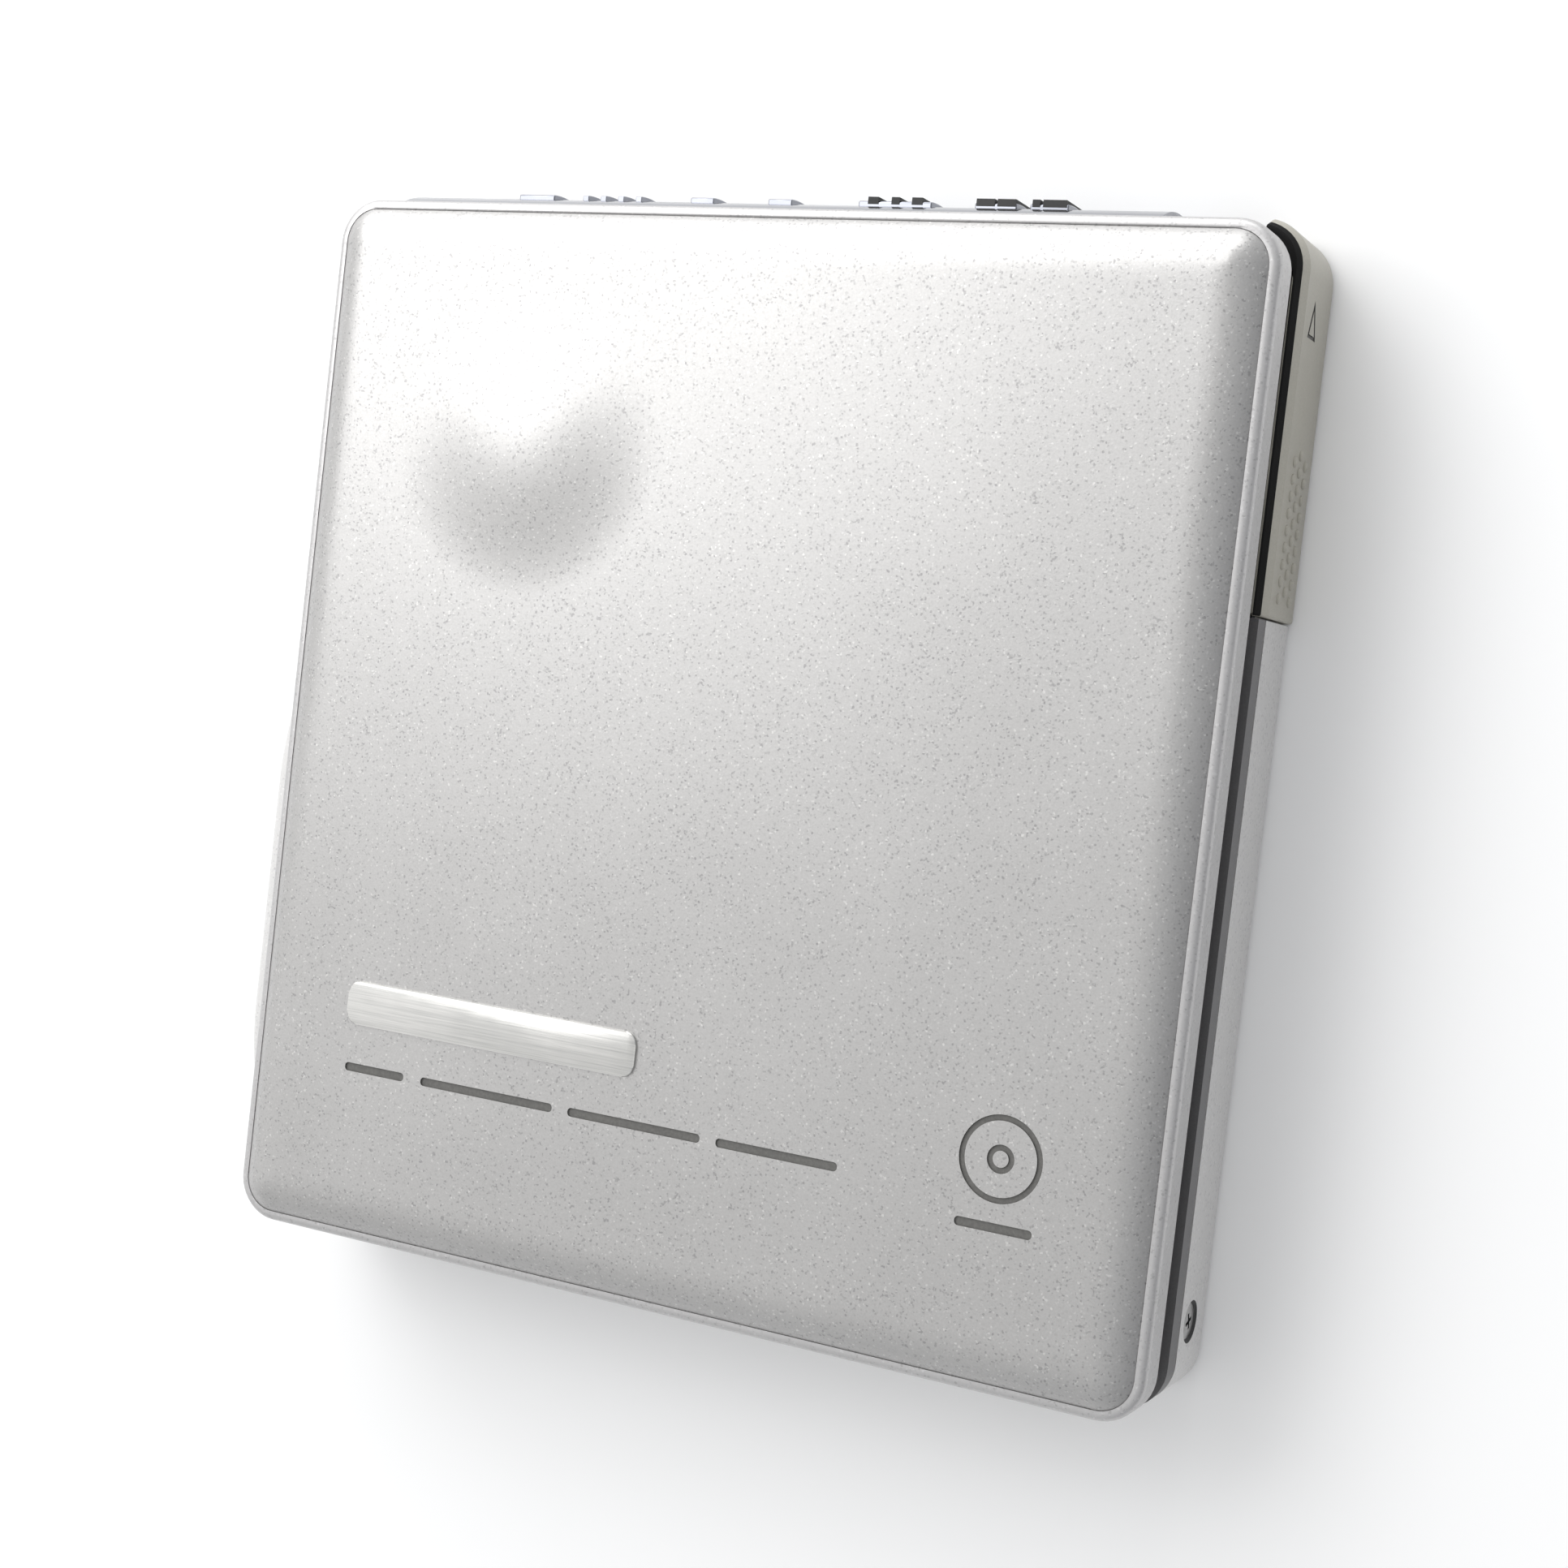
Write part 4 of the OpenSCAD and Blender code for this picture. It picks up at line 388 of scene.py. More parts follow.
def buildLid(tree, size):
    grid = addNode(tree, "GeometryNodeMeshGrid",    # from -1 to 1 both ways
                   {"Size X": 2.0, "Size Y": 2.0, "Vertices X": size["Cells Across"],
                    "Vertices Y": size["Cells Along"]})
    flat = addNode(tree, "GeometryNodeInputPosition")
    away = addNode(tree, "ShaderNodeVectorMath", {0: flat}, operation="ABSOLUTE")
    sign = addNode(tree, "ShaderNodeVectorMath", {0: flat}, operation="SIGN")
    half = addNode(tree, "ShaderNodeCombineXYZ", {0: size["Half Width"], 1: size["Half Length"]})
    corner = addNode(tree, "ShaderNodeCombineXYZ", {0: size["Corner"], 1: size["Corner"]})
    span = addNode(tree, "ShaderNodeVectorMath", {0: half, 1: corner}, operation="SUBTRACT")

    # the inner cells stretch over the field and the outer ones over the corner's width;
    # sockets 6, 7, 8 and 10 are a vector range's value, lowest and highest input, and highest result
    core = addNode(tree, "ShaderNodeMapRange", {6: away, 8: size["Core Share"], 10: span}, out=1,
                   data_type="FLOAT_VECTOR")
    edge = addNode(tree, "ShaderNodeMapRange", {6: away, 7: size["Core Share"]}, out=1,
                   data_type="FLOAT_VECTOR")

    # the square corner of the grid becomes a quarter disc: x times the root of 1 - y * y / 2
    edgeX = addNode(tree, "ShaderNodeSeparateXYZ", {0: edge})
    crossed = addNode(tree, "ShaderNodeCombineXYZ", {0: edgeX.node.outputs[1], 1: edgeX})
    share = addNode(tree, "ShaderNodeVectorMath", {0: crossed, 1: crossed}, operation="MULTIPLY")
    share = addNode(tree, "ShaderNodeVectorMath", {0: share, 1: (-0.5, -0.5, 0.0), 2: (1.0, 1.0, 1.0)},
                    operation="MULTIPLY_ADD")
    share = addNode(tree, "ShaderNodeVectorMath", {0: share, 1: (0.5, 0.5, 0.5)}, operation="POWER")
    disc = addNode(tree, "ShaderNodeVectorMath", {0: edge, 1: share}, operation="MULTIPLY")
    place = addNode(tree, "ShaderNodeVectorMath", {0: disc, 1: corner, 2: core}, operation="MULTIPLY_ADD")
    place = addNode(tree, "ShaderNodeVectorMath", {0: place, 1: sign}, operation="MULTIPLY")

    # fall with a power of the way from the flat field to the crease
    reach = addNode(tree, "ShaderNodeVectorMath", {0: disc}, out=1, operation="LENGTH")
    short = addNode(tree, "ShaderNodeVectorMath", {0: core, 1: span}, operation="SUBTRACT")
    shortX = addNode(tree, "ShaderNodeSeparateXYZ", {0: short})
    short = addNode(tree, "ShaderNodeMath", {0: shortX, 1: shortX.node.outputs[1]}, operation="MAXIMUM")
    crease = addNode(tree, "ShaderNodeMath", {0: reach, 1: size["Corner"], 2: short},
                     operation="MULTIPLY_ADD")
    start = addNode(tree, "ShaderNodeMath", {0: size["Corner"], 1: size["Fall Width"]},
                    operation="SUBTRACT")
    part = addNode(tree, "ShaderNodeMapRange",
                   {"Value": crease, "From Min": start, "From Max": size["Corner"]})
    fall = addNode(tree, "ShaderNodeMath", {0: part, 1: size["Fall Power"]}, operation="POWER")
    fall = addNode(tree, "ShaderNodeMath", {0: fall, 1: size["Fall"]}, operation="MULTIPLY")
    height = addNode(tree, "ShaderNodeMath", {0: size["Top"], 1: fall}, operation="SUBTRACT")

    # round dome, level at its middle and at its foot
    middle = addNode(tree, "ShaderNodeCombineXYZ", {0: size["Dome X"], 1: size["Dome Y"]})
    ray = addNode(tree, "ShaderNodeVectorMath", {0: place, 1: middle}, out=1, operation="DISTANCE")
    turn = addNode(tree, "ShaderNodeMapRange",
                   {"Value": ray, "From Max": size["Dome Radius"], "To Max": math.pi})
    swell = addNode(tree, "ShaderNodeMath", {0: turn}, operation="COSINE")
    swell = addNode(tree, "ShaderNodeMath", {0: swell, 1: 0.5, 2: 0.5}, operation="MULTIPLY_ADD")
    height = addNode(tree, "ShaderNodeMath", {0: swell, 1: size["Dome Rise"], 2: height},
                     operation="MULTIPLY_ADD")

    lift = addNode(tree, "ShaderNodeCombineXYZ", {2: height})
    point = addNode(tree, "ShaderNodeVectorMath", {0: place, 1: lift}, operation="ADD")
    point = addNode(tree, "ShaderNodeVectorMath", {0: point, 3: mm}, operation="SCALE")
    shape = addNode(tree, "GeometryNodeSetPosition", {0: grid, "Position": point})
    return addNode(tree, "GeometryNodeSetShadeSmooth", {0: shape})


# skirt below the crease and wall of the sheet in mm, and the angle of a sharp edge
lidSheet = {"skirtZ": 12.05, "wall": 0.42, "sharp": 40}


def makeLid():
    mesh = growMesh("lidSheet", lid, buildLid)
    shell = bmesh.new()
    shell.from_mesh(mesh)
    rim = [e for e in shell.edges if e.is_boundary]
    fold = bmesh.ops.extrude_edge_only(shell, edges=rim)
    for vert in (g for g in fold["geom"] if isinstance(g, bmesh.types.BMVert)):
        vert.co.z = lidSheet["skirtZ"] * mm
    bmesh.ops.recalc_face_normals(shell, faces=shell.faces)
    top = max(shell.faces, key=lambda f: f.calc_center_median().z)
    if top.normal.z < 0:
        bmesh.ops.reverse_faces(shell, faces=shell.faces)
    shell.to_mesh(mesh)
    shell.free()
    shadeSmooth(mesh, lidSheet["sharp"])
    holder = newHolder("lidPanel", mesh)
    wall = holder.modifiers.new("wall", "SOLIDIFY")
    wall.thickness = lidSheet["wall"] * mm
    wall.offset = -1
    return bakeMesh(holder)


# flat outlines in mm that are given height
def barOutline(x, y, length, width, radius, steps=6):
    points = []
    for sx, sy, start in ((1, 1, 0), (-1, 1, 90), (-1, -1, 180), (1, -1, 270)):
        for i in range(steps + 1):
            angle = math.radians(start + 90 * i / steps)
            points.append((x + sx * (length / 2 - radius) + radius * math.cos(angle),
                           y + sy * (width / 2 - radius) + radius * math.sin(angle)))
    return points


def addPrism(shell, outline, low, high):
    base = [shell.verts.new((x * mm, y * mm, low * mm)) for x, y in outline]
    roof = [shell.verts.new((x * mm, y * mm, high * mm)) for x, y in outline]
    shell.faces.new(base[::-1])
    shell.faces.new(roof)
    for i in range(len(base)):
        j = (i + 1) % len(base)
        shell.faces.new((base[i], base[j], roof[j], roof[i]))


def addFrame(shell, outer, inner, low, high):
    corners = ((outer, low), (outer, high), (inner, high), (inner, low))
    loops = [[shell.verts.new((x * mm, y * mm, z * mm)) for x, y in line] for line, z in corners]
    for near, far in zip(loops, loops[1:] + loops[:1]):
        for i in range(len(near)):
            j = (i + 1) % len(near)
            shell.faces.new((near[i], near[j], far[j], far[i]))


def toMesh(shell, name, material, sharpAngle=None):
    mesh = bpy.data.meshes.new(name)
    shell.to_mesh(mesh)
    shell.free()
    mesh.materials.append(material)
    if sharpAngle:
        shadeSmooth(mesh, sharpAngle)
    return mesh


def carve(name, mesh, cutter):
    holder = newHolder(name, mesh)
    tool = newHolder(name + "Tool", cutter)
    cut = holder.modifiers.new("marks", "BOOLEAN")
    cut.operation = "DIFFERENCE"
    cut.solver = "EXACT"
    cut.material_mode = "TRANSFER"
    cut.object = tool
    mesh = bakeMesh(holder)
    bpy.data.objects.remove(tool)
    return mesh


# stamped marks of the lid, all plain shapes: four bars in a row, and a disc of two rings over a short bar
lidMarks = {
    "sink": 0.13, "over": 1.0, "barWidth": 0.62, "barRound": 0.45, "barY": -25.5,
    "bars": ((-24.05, 5.2), (-14.35, 11.2), (-2.15, 10.6), (9.0, 9.2)),   # middle along X and length
    "disc": (25.0, -22.8), "rings": ((2.9, 2.5), (0.95, 0.55)), "ringSteps": 16,
    "foot": (25.0, -27.3, 5.4),
}


def stampMarks():
    low = lid["Top"] - lidMarks["sink"]
    high = lid["Top"] + lidMarks["over"]
    width = lidMarks["barWidth"]
    bars = [(x, lidMarks["barY"], length) for x, length in lidMarks["bars"]]
    shell = bmesh.new()
    for x, y, length in (*bars, lidMarks["foot"]):
        addPrism(shell, barOutline(x, y, length, width, width * lidMarks["barRound"]), low, high)
    x, y = lidMarks["disc"]
    for ring in lidMarks["rings"]:
        lines = [barOutline(x, y, 2 * r, 2 * r, r, lidMarks["ringSteps"]) for r in ring]
        addFrame(shell, *lines, low, high)
    bmesh.ops.remove_doubles(shell, verts=shell.verts, dist=soft["weld"] / 2 * mm)
    # the cut floors and walls take this finish: painted shade in the stamped marks
    return toMesh(shell, "lidMarks", finish["markInk"])


toPiece("lidPanel", carve("lidPanel", makeLid(), stampMarks()), "lid", "lid_paint", "lid_panel")
print("lid pressed and stamped")

# bright blank plate raised on the lid
plate = {
    "x": -14.7, "y": -20.7, "length": 24.4, "width": 3.2, "round": 0.9,
    "low": 13.76, "high": 13.98, "edge": 0.1, "edgeSteps": 3, "sharp": 30,
}


def makePlate():
    shell = bmesh.new()
    outline = barOutline(plate["x"], plate["y"], plate["length"], plate["width"], plate["round"])
    addPrism(shell, outline, plate["low"], plate["high"])
    middle = (plate["low"] + plate["high"]) / 2 * mm
    top = [e for e in shell.edges if all(v.co.z > middle for v in e.verts)]
    bmesh.ops.bevel(shell, geom=top, offset=plate["edge"] * mm, segments=plate["edgeSteps"], profile=0.5,
                    affect="EDGES")
    return toMesh(shell, "blankPlate", finish["brushedNickel"], plate["sharp"])


toPiece("blankPlate", makePlate(), "lid", "steel")

# open lever: softened edge, outlined arrow on its outer face that points the way it slides,
# and the height above which its upward faces are black as painted shade in the gap under the lid
lever = {
    "face": 36.2, "edge": 0.16, "tip": (34.85, 4.4), "foot": 32.3, "half": 1.0, "line": 0.26,
    "sink": 0.1, "over": 1.0, "paintedShadeZ": 7.2, "upFacing": 0.2,
}


def engraveArrow():
    tipY, midZ = lever["tip"]
    low = Vector((lever["foot"], midZ - lever["half"]))
    tip = Vector((tipY, midZ))
    high = Vector((lever["foot"], midZ + lever["half"]))
    corners = [low, tip, high]
    sides = [(tip - high).length, (high - low).length, (low - tip).length]
    centre = sum((c * s for c, s in zip(corners, sides)), Vector((0, 0))) / sum(sides)
    inRadius = (tipY - lever["foot"]) * 2 * lever["half"] / sum(sides)
    inner = [centre + (c - centre) * (1 - lever["line"] / inRadius) for c in corners]
    shell = bmesh.new()
    addFrame(shell, corners, inner, lever["face"] - lever["sink"], lever["face"] + lever["over"])
    standUp = Matrix(((0, 0, 1, 0), (1, 0, 0, 0), (0, 1, 0, 0), (0, 0, 0, 1)))   # drawn flat, now facing +X
    shell.transform(standUp)
    # the cut floor and walls of the arrow take the painted shade
    return toMesh(shell, "arrow", finish["markInk"])


def makeLever():
    mesh = softCopy("open_lever", "oliveAbs", lever["edge"], lever["paintedShadeZ"])
    mesh = carve("openLever", mesh, engraveArrow())
    mesh.materials.append(finish["mattBlackAbs"])   # painted shade: its upper edge is black in the gap under the lid
    for face in mesh.polygons:
        if face.normal.z > lever["upFacing"] and face.center.z > lever["paintedShadeZ"] * mm:
            face.material_index = len(mesh.materials) - 1
    return mesh


toPiece("openLever", makeLever(), "lever", "lever_plastic", "open_lever")

# grip dots on the lever: rows along Y, columns up Z, every second column moved half a row
grip = {
    "Rows": 9, "Columns": 3, "Pitch Along": 1.12, "Pitch Up": 1.35, "Stagger": 0.56,
    "Start Y": 15.3, "Start Z": 2.05, "Face X": 36.2, "Dot Radius": 0.36, "Dot Height": 0.2,
    "Dot Segments": 20, "Dot Rings": 10, "Material": finish["oliveAbs"],
}


def buildGrip(tree, size):
    index = addNode(tree, "GeometryNodeInputIndex")
    count = addNode(tree, "ShaderNodeMath", {0: size["Rows"], 1: size["Columns"]}, operation="MULTIPLY")
    column = addNode(tree, "ShaderNodeMath", {0: index, 1: size["Rows"]}, operation="DIVIDE")
    column = addNode(tree, "ShaderNodeMath", {0: column}, operation="FLOOR")
    row = addNode(tree, "ShaderNodeMath", {0: index, 1: size["Rows"]}, operation="MODULO")
    odd = addNode(tree, "ShaderNodeMath", {0: column, 1: 2.0}, operation="MODULO")
    y = addNode(tree, "ShaderNodeMath", {0: row, 1: size["Pitch Along"], 2: size["Start Y"]},
                operation="MULTIPLY_ADD")
    y = addNode(tree, "ShaderNodeMath", {0: odd, 1: size["Stagger"], 2: y}, operation="MULTIPLY_ADD")
    z = addNode(tree, "ShaderNodeMath", {0: column, 1: size["Pitch Up"], 2: size["Start Z"]},
                operation="MULTIPLY_ADD")
    place = addNode(tree, "ShaderNodeCombineXYZ", {0: size["Face X"], 1: y, 2: z})
    place = addNode(tree, "ShaderNodeVectorMath", {0: place, 3: mm}, operation="SCALE")
    seats = addNode(tree, "GeometryNodePoints", {"Count": count, "Position": place})
    dot = addNode(tree, "GeometryNodeMeshUVSphere",
                  {"Segments": size["Dot Segments"], "Rings": size["Dot Rings"], "Radius": mm})
    dot = addNode(tree, "GeometryNodeSetShadeSmooth", {0: dot})
    spread = addNode(tree, "ShaderNodeCombineXYZ",
                     {0: size["Dot Height"], 1: size["Dot Radius"], 2: size["Dot Radius"]})
    return addNode(tree, "GeometryNodeInstanceOnPoints",
                   {"Points": seats, "Instance": dot, "Scale": spread})


toPiece("leverGrip", growMesh("leverGrip", grip, buildGrip), "lever", "lever_plastic")
print("lever done")

# cross-head screws: profile as radius and height from the head's face, seats, and the cross recess
screws = {
    "side": {
        "profile": ((0, -0.1), (1.14, -0.14), (1.24, -0.19), (0.7, -0.6), (0.7, -2.2), (0, -2.2)),
        "seats": sideSeats, "facing": ((1, 0, 0), (-1, 0, 0), (0, -1, 0)),
    },
    "base": {
        "profile": ((0, 0), (1.18, 0), (1.27, -0.08), (1.27, -0.6), (0.65, -0.6), (0.65, -4.1), (0, -4.1)),
        "seats": ((29.5, -32.5, 0.25), (-12.5, 32.7, 0.25), (20, 32.7, 0.25)),
        "facing": ((0, 0, -1), (0, 0, -1), (0, 0, -1)),
    },
    "recess": {"reach": 0.84, "half": 0.19, "depth": 0.5, "taper": 0.5},
    "steps": 48, "sharp": 30, "seed": 7,
}


def makeScrew(name, profile):
    shell = bmesh.new()
    line = [shell.verts.new((r * mm, 0, z * mm)) for r, z in profile]
    edges = [shell.edges.new(pair) for pair in zip(line, line[1:])]
    bmesh.ops.spin(shell, geom=line + edges, cent=(0, 0, 0), axis=(0, 0, 1), angle=2 * math.pi,
                   steps=screws["steps"])
    bmesh.ops.remove_doubles(shell, verts=shell.verts, dist=soft["weld"] / 2 * mm)
    bmesh.ops.recalc_face_normals(shell, faces=shell.faces)
    body = toMesh(shell, name, finish["zincSteel"], screws["sharp"])
    reach, half, depth, taper = (screws["recess"][k] for k in ("reach", "half", "depth", "taper"))
    arm = ((reach, -half), (reach, half), (half, half))
    turns = ((1, 0), (0, 1), (-1, 0), (0, -1))
    tool = bmesh.new()
    addPrism(tool, [(c * x - s * y, s * x + c * y) for c, s in turns for x, y in arm], -depth, depth)
    for vert in tool.verts:
        if vert.co.z < 0:
            vert.co.xy *= taper
    # the cut cross recess takes the black finish as painted shade
    mesh = carve(name, body, toMesh(tool, name + "Cross", finish["blackAbs"]))
    inlay = mesh.attributes.new("inlay", "BOOLEAN", "FACE")
    inlay.data.foreach_set("value", [face.material_index > 0 for face in mesh.polygons])
    return mesh


def buildScrews(tree, size):
    facing = addNode(tree, "GeometryNodeInputNamedAttribute", {"Name": "facing"}, data_type="FLOAT_VECTOR")
    turn = addNode(tree, "FunctionNodeAlignRotationToVector", {"Vector": facing}, axis="Z")
    screw = addNode(tree, "GeometryNodeObjectInfo", {"Object": size["Screw"]}, out="Geometry")
    placed = addNode(tree, "GeometryNodeInstanceOnPoints",
                     {"Points": size["Seats"], "Instance": screw, "Rotation": turn})
    spin = addNode(tree, "FunctionNodeRandomValue",
                   {"Max": (0.0, 0.0, math.pi / 2), "Seed": size["Seed"]}, data_type="FLOAT_VECTOR")
    return addNode(tree, "GeometryNodeRotateInstances", {"Instances": placed, "Rotation": spin})


for kind, nodeName in (("side", "side_screws"), ("base", "base_screws")):
    name = kind + "Screws"
    screw = newHolder(kind + "Screw", makeScrew(kind + "Screw", screws[kind]["profile"]))
    seats = bpy.data.meshes.new(kind + "Seats")
    seats.from_pydata([[c * mm for c in seat] for seat in screws[kind]["seats"]], [], [])
    facing = seats.attributes.new("facing", "FLOAT_VECTOR", "POINT")
    facing.data.foreach_set("vector", [c for way in screws[kind]["facing"] for c in way])
    sizes = {"Screw": screw, "Seed": screws["seed"], "Material": finish["zincSteel"],
             "Inlay": finish["blackAbs"]}
    toPiece(name, growMesh(name, sizes, buildScrews, seats), "case", "screw_steel", nodeName)
    bpy.data.objects.remove(screw)
print("screws set")

# finger ridges on three keys, black as painted shade and dark reflection on the key tops: middle of each
# along X and its length
ridges = {
    "play": ((4.75, 0.8), (6.45, 0.6), (8.1, 0.8)),
    "back": ((13.2, 1.35), (14.75, 1.35)),
    "forward": ((16.9, 0.55), (18.25, 1.7)),
}
ridge = {
    "Crest": 40.45, "Rise": 0.15, "Root": 0.35, "Depth": 3.1, "Middle": 5.1,
    "Material": finish["blackAbs"],
}


def buildRidges(tree, size):
    span = addNode(tree, "GeometryNodeInputNamedAttribute", {"Name": "span"}, data_type="FLOAT")
    tall = addNode(tree, "ShaderNodeMath", {0: size["Rise"], 1: size["Root"]}, operation="ADD")
    y = addNode(tree, "ShaderNodeMath", {0: size["Rise"], 1: size["Root"]}, operation="SUBTRACT")
    y = addNode(tree, "ShaderNodeMath", {0: y, 1: 0.5, 2: size["Crest"]}, operation="MULTIPLY_ADD")
    lift = addNode(tree, "ShaderNodeCombineXYZ", {1: y, 2: size["Middle"]})
    lift = addNode(tree, "ShaderNodeVectorMath", {0: lift, 3: mm}, operation="SCALE")
    seats = addNode(tree, "GeometryNodeSetPosition", {0: size["Seats"], "Offset": lift})
    block = addNode(tree, "GeometryNodeMeshCube", {"Size": (mm, mm, mm)})
    spread = addNode(tree, "ShaderNodeCombineXYZ", {0: span, 1: tall, 2: size["Depth"]})
    return addNode(tree, "GeometryNodeInstanceOnPoints",
                   {"Points": seats, "Instance": block, "Scale": spread})


for body, marks in ridges.items():
    name = body + "Ridges"
    seats = bpy.data.meshes.new(body + "Seats")
    seats.from_pydata([(x * mm, 0, 0) for x, span in marks], [], [])
    seats.attributes.new("span", "FLOAT", "POINT").data.foreach_set("value", [span for x, span in marks])
    toPiece(name, growMesh(name, ridge, buildRidges, seats), body, "slider_black")

# lead screw: a plain core with journals, and a thread of several starts wound round it
thread = {
    "Starts": 3, "Lead": 3.08, "Turns": 7.7, "Low Y": -35.4, "Axis X": 14.6, "Axis Z": 4.2,
    "Crest Radius": 1.0, "Core Radius": 0.74, "Ridge": 0.26,
    "Journal Radius": 0.5, "Journal Low": -36.55, "Journal High": -9.9,
    "Steps": 28, "Ridge Sides": 6, "Journal Sides": 24, "Material": finish["groundSteel"],
}


def buildThread(tree, size):
    tall = addNode(tree, "ShaderNodeMath", {0: size["Lead"], 1: size["Turns"]}, operation="MULTIPLY")
    wound = addNode(tree, "ShaderNodeMath", {0: size["Crest Radius"], 1: size["Ridge"]},
                    operation="SUBTRACT")
    helix = addNode(tree, "GeometryNodeCurveSpiral",
                    {"Resolution": size["Steps"], "Rotations": size["Turns"], "Start Radius": wound,
                     "End Radius": wound, "Height": tall})
    section = addNode(tree, "GeometryNodeCurvePrimitiveCircle",
                      {"Resolution": size["Ridge Sides"], "Radius": size["Ridge"]})
    rib = addNode(tree, "GeometryNodeCurveToMesh",
                  {"Curve": helix, "Profile Curve": section, "Fill Caps": True})
    rib = addNode(tree, "GeometryNodeSetShadeSmooth", {0: rib})
    index = addNode(tree, "GeometryNodeInputIndex")
    share = addNode(tree, "ShaderNodeMath", {0: 2 * math.pi, 1: size["Starts"]}, operation="DIVIDE")
    angle = addNode(tree, "ShaderNodeMath", {0: index, 1: share}, operation="MULTIPLY")
    turn = addNode(tree, "ShaderNodeCombineXYZ", {2: angle})
    seats = addNode(tree, "GeometryNodePoints", {"Count": size["Starts"]})
    ribs = addNode(tree, "GeometryNodeInstanceOnPoints",
                   {"Points": seats, "Instance": rib, "Rotation": turn})
    middle = addNode(tree, "ShaderNodeMath", {0: tall, 1: 0.5}, operation="MULTIPLY")
    middle = addNode(tree, "ShaderNodeCombineXYZ", {2: middle})
    core = addNode(tree, "GeometryNodeMeshCylinder",
                   {"Vertices": size["Steps"], "Radius": size["Core Radius"], "Depth": tall})
    core = addNode(tree, "GeometryNodeTransform", {0: core, "Translation": middle})
    run = addNode(tree, "ShaderNodeMath", {0: size["Journal High"], 1: size["Journal Low"]},
                  operation="SUBTRACT")
    pin = addNode(tree, "GeometryNodeMeshCylinder",
                  {"Vertices": size["Journal Sides"], "Radius": size["Journal Radius"], "Depth": run})
    rise = addNode(tree, "ShaderNodeMath", {0: size["Journal High"], 1: size["Journal Low"]},
                   operation="ADD")
    rise = addNode(tree, "ShaderNodeMath", {0: rise, 1: 0.5}, operation="MULTIPLY")
    rise = addNode(tree, "ShaderNodeMath", {0: rise, 1: size["Low Y"]}, operation="SUBTRACT")
    rise = addNode(tree, "ShaderNodeCombineXYZ", {2: rise})
    pin = addNode(tree, "GeometryNodeTransform", {0: pin, "Translation": rise})
    rod = addNode(tree, "GeometryNodeJoinGeometry", {0: [ribs, core, pin]})
    place = addNode(tree, "ShaderNodeCombineXYZ", {0: size["Axis X"], 1: size["Low Y"], 2: size["Axis Z"]})
    place = addNode(tree, "ShaderNodeVectorMath", {0: place, 3: mm}, operation="SCALE")
    return addNode(tree, "GeometryNodeTransform",   # made upright in mm, then laid along Y
                   {0: rod, "Translation": place, "Rotation": (-math.pi / 2, 0.0, 0.0),
                    "Scale": (mm, mm, mm)})


toPiece("leadScrew", growMesh("leadScrew", thread, buildThread), "screw", "steel", "lead_screw")
print("ridges and thread wound")

# latch spring: a softened copy of the CAD coil, with a mesh of its own; in the player the lever squeezes it
# along Y against the far end of its pocket
spring = toPiece("latchSpring", softCopy("latch_spring", "groundSteel"), "case", "steel", "latch_spring")
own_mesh(spring)
print("latch spring coiled")

# works that stay out of sight keep their solids and only take a finish
sealed = {
    "main_board": "solderMask", "key_board": "solderMask", "board_chips": "mouldedEpoxy",
    "key_switches": "mouldedEpoxy", "battery_contact": "platedBrass", "chassis_dampers": "neoprene",
    "chassis_screws": "zincSteel", "door_pin": "groundSteel", "lid_catch": "groundSteel",
}
for nodeName, finishName in sealed.items():
    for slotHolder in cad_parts[nodeName].material_slots:
        slotHolder.material = finish[finishName]
print("works finished:", len(sealed))

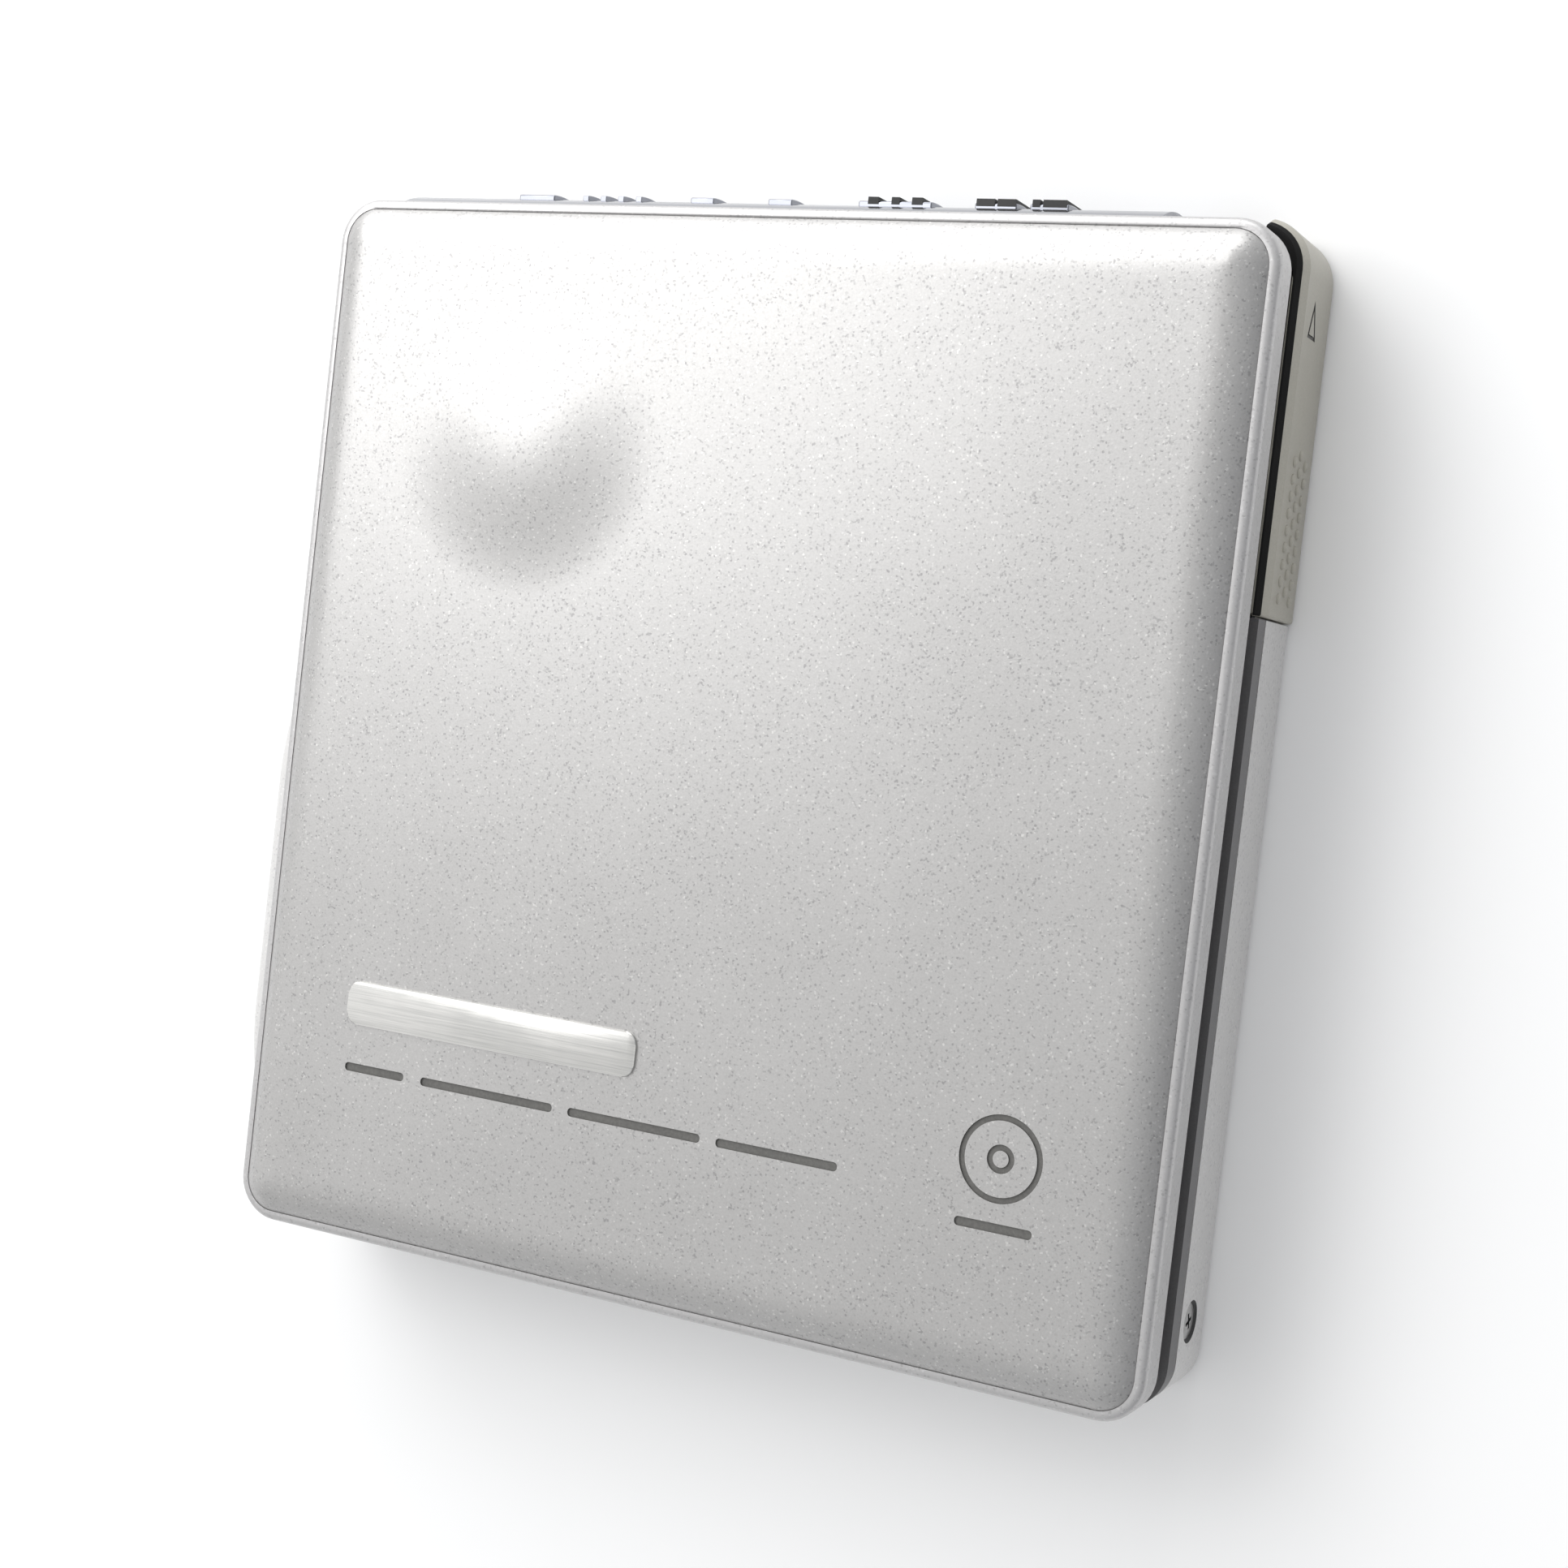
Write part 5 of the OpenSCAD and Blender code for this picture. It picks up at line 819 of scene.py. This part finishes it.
# plain pale floor, a hair below the player's back
floorSheet = {"half": 4000, "drop": 0.02, "tone": "#F4F4F4", "rough": 0.9}
floor = newHolder("floor", bpy.data.meshes.new("floor"))
ground = bmesh.new()
bmesh.ops.create_grid(ground, x_segments=1, y_segments=1, size=floorSheet["half"] * mm,
                      matrix=Matrix.Translation((0, 0, -floorSheet["drop"] * mm)))
ground.to_mesh(floor.data)
ground.free()
paper = bpy.data.materials.new("paper")
paper.use_nodes = True
paperShader = paper.node_tree.nodes["Principled BSDF"]
paperShader.inputs["Base Color"].default_value = toLinear(floorSheet["tone"])
paperShader.inputs["Roughness"].default_value = floorSheet["rough"]
floor.data.materials.append(paper)

# soft light: a large panel over the far left corner, and a low one behind the key side
lamps = {
    "panel": {"place": (-250, 205, 370), "aim": (0, 10, 10), "size": (370, 300), "watts": 0.9},
    "window": {"place": (-170, 430, 190), "aim": (-10, 30, 10), "size": (560, 340), "watts": 1.45},
}
for name, lamp in lamps.items():
    light = bpy.data.lights.new(name, "AREA")
    light.shape = "RECTANGLE"
    light.size, light.size_y = (s * mm for s in lamp["size"])
    light.energy = lamp["watts"]
    holder = bpy.data.objects.new(name, light)
    place, aim = (Vector(lamp[k]) * mm for k in ("place", "aim"))
    turn = (aim - place).to_track_quat("-Z", "Y").to_matrix().to_4x4()
    holder.matrix_world = Matrix.Translation(place) @ turn
    scene.collection.objects.link(holder)

# pale room, brightest behind the panel and dim low on the lever side: share of the way round, and tone
room = {
    "towards": (-0.85, 0.25, 0.46), "strength": 1.2,
    "tones": ((0.0, "#808185"), (0.1, "#8E8F92"), (0.33, "#B8B9BB"), (0.62, "#D2D3D4"), (0.81, "#DCDCDC"),
              (1.0, "#FFFFFF")),
}
world = bpy.data.worlds.new("room")
world.use_nodes = True
tree = world.node_tree
way = addNode(tree, "ShaderNodeTexCoord", out="Generated")
facing = addNode(tree, "ShaderNodeVectorMath", {0: way, 1: room["towards"]}, out="Value",
                 operation="DOT_PRODUCT")
share = addNode(tree, "ShaderNodeMapRange", {"Value": facing, "From Min": -1.0})
shade = tree.nodes.new("ShaderNodeValToRGB")
stops = shade.color_ramp.elements
for position, tone in room["tones"][1:-1]:          # the ramp has its two end stops already
    stops.new(position)
for stop, (position, tone) in zip(stops, room["tones"]):
    stop.color = toLinear(tone)
tree.links.new(share, shade.inputs[0])
tree.links.new(shade.outputs[0], tree.nodes["Background"].inputs["Color"])
tree.nodes["Background"].inputs["Strength"].default_value = room["strength"]
scene.world = world
print("lights set")

bpy.context.view_layer.update()
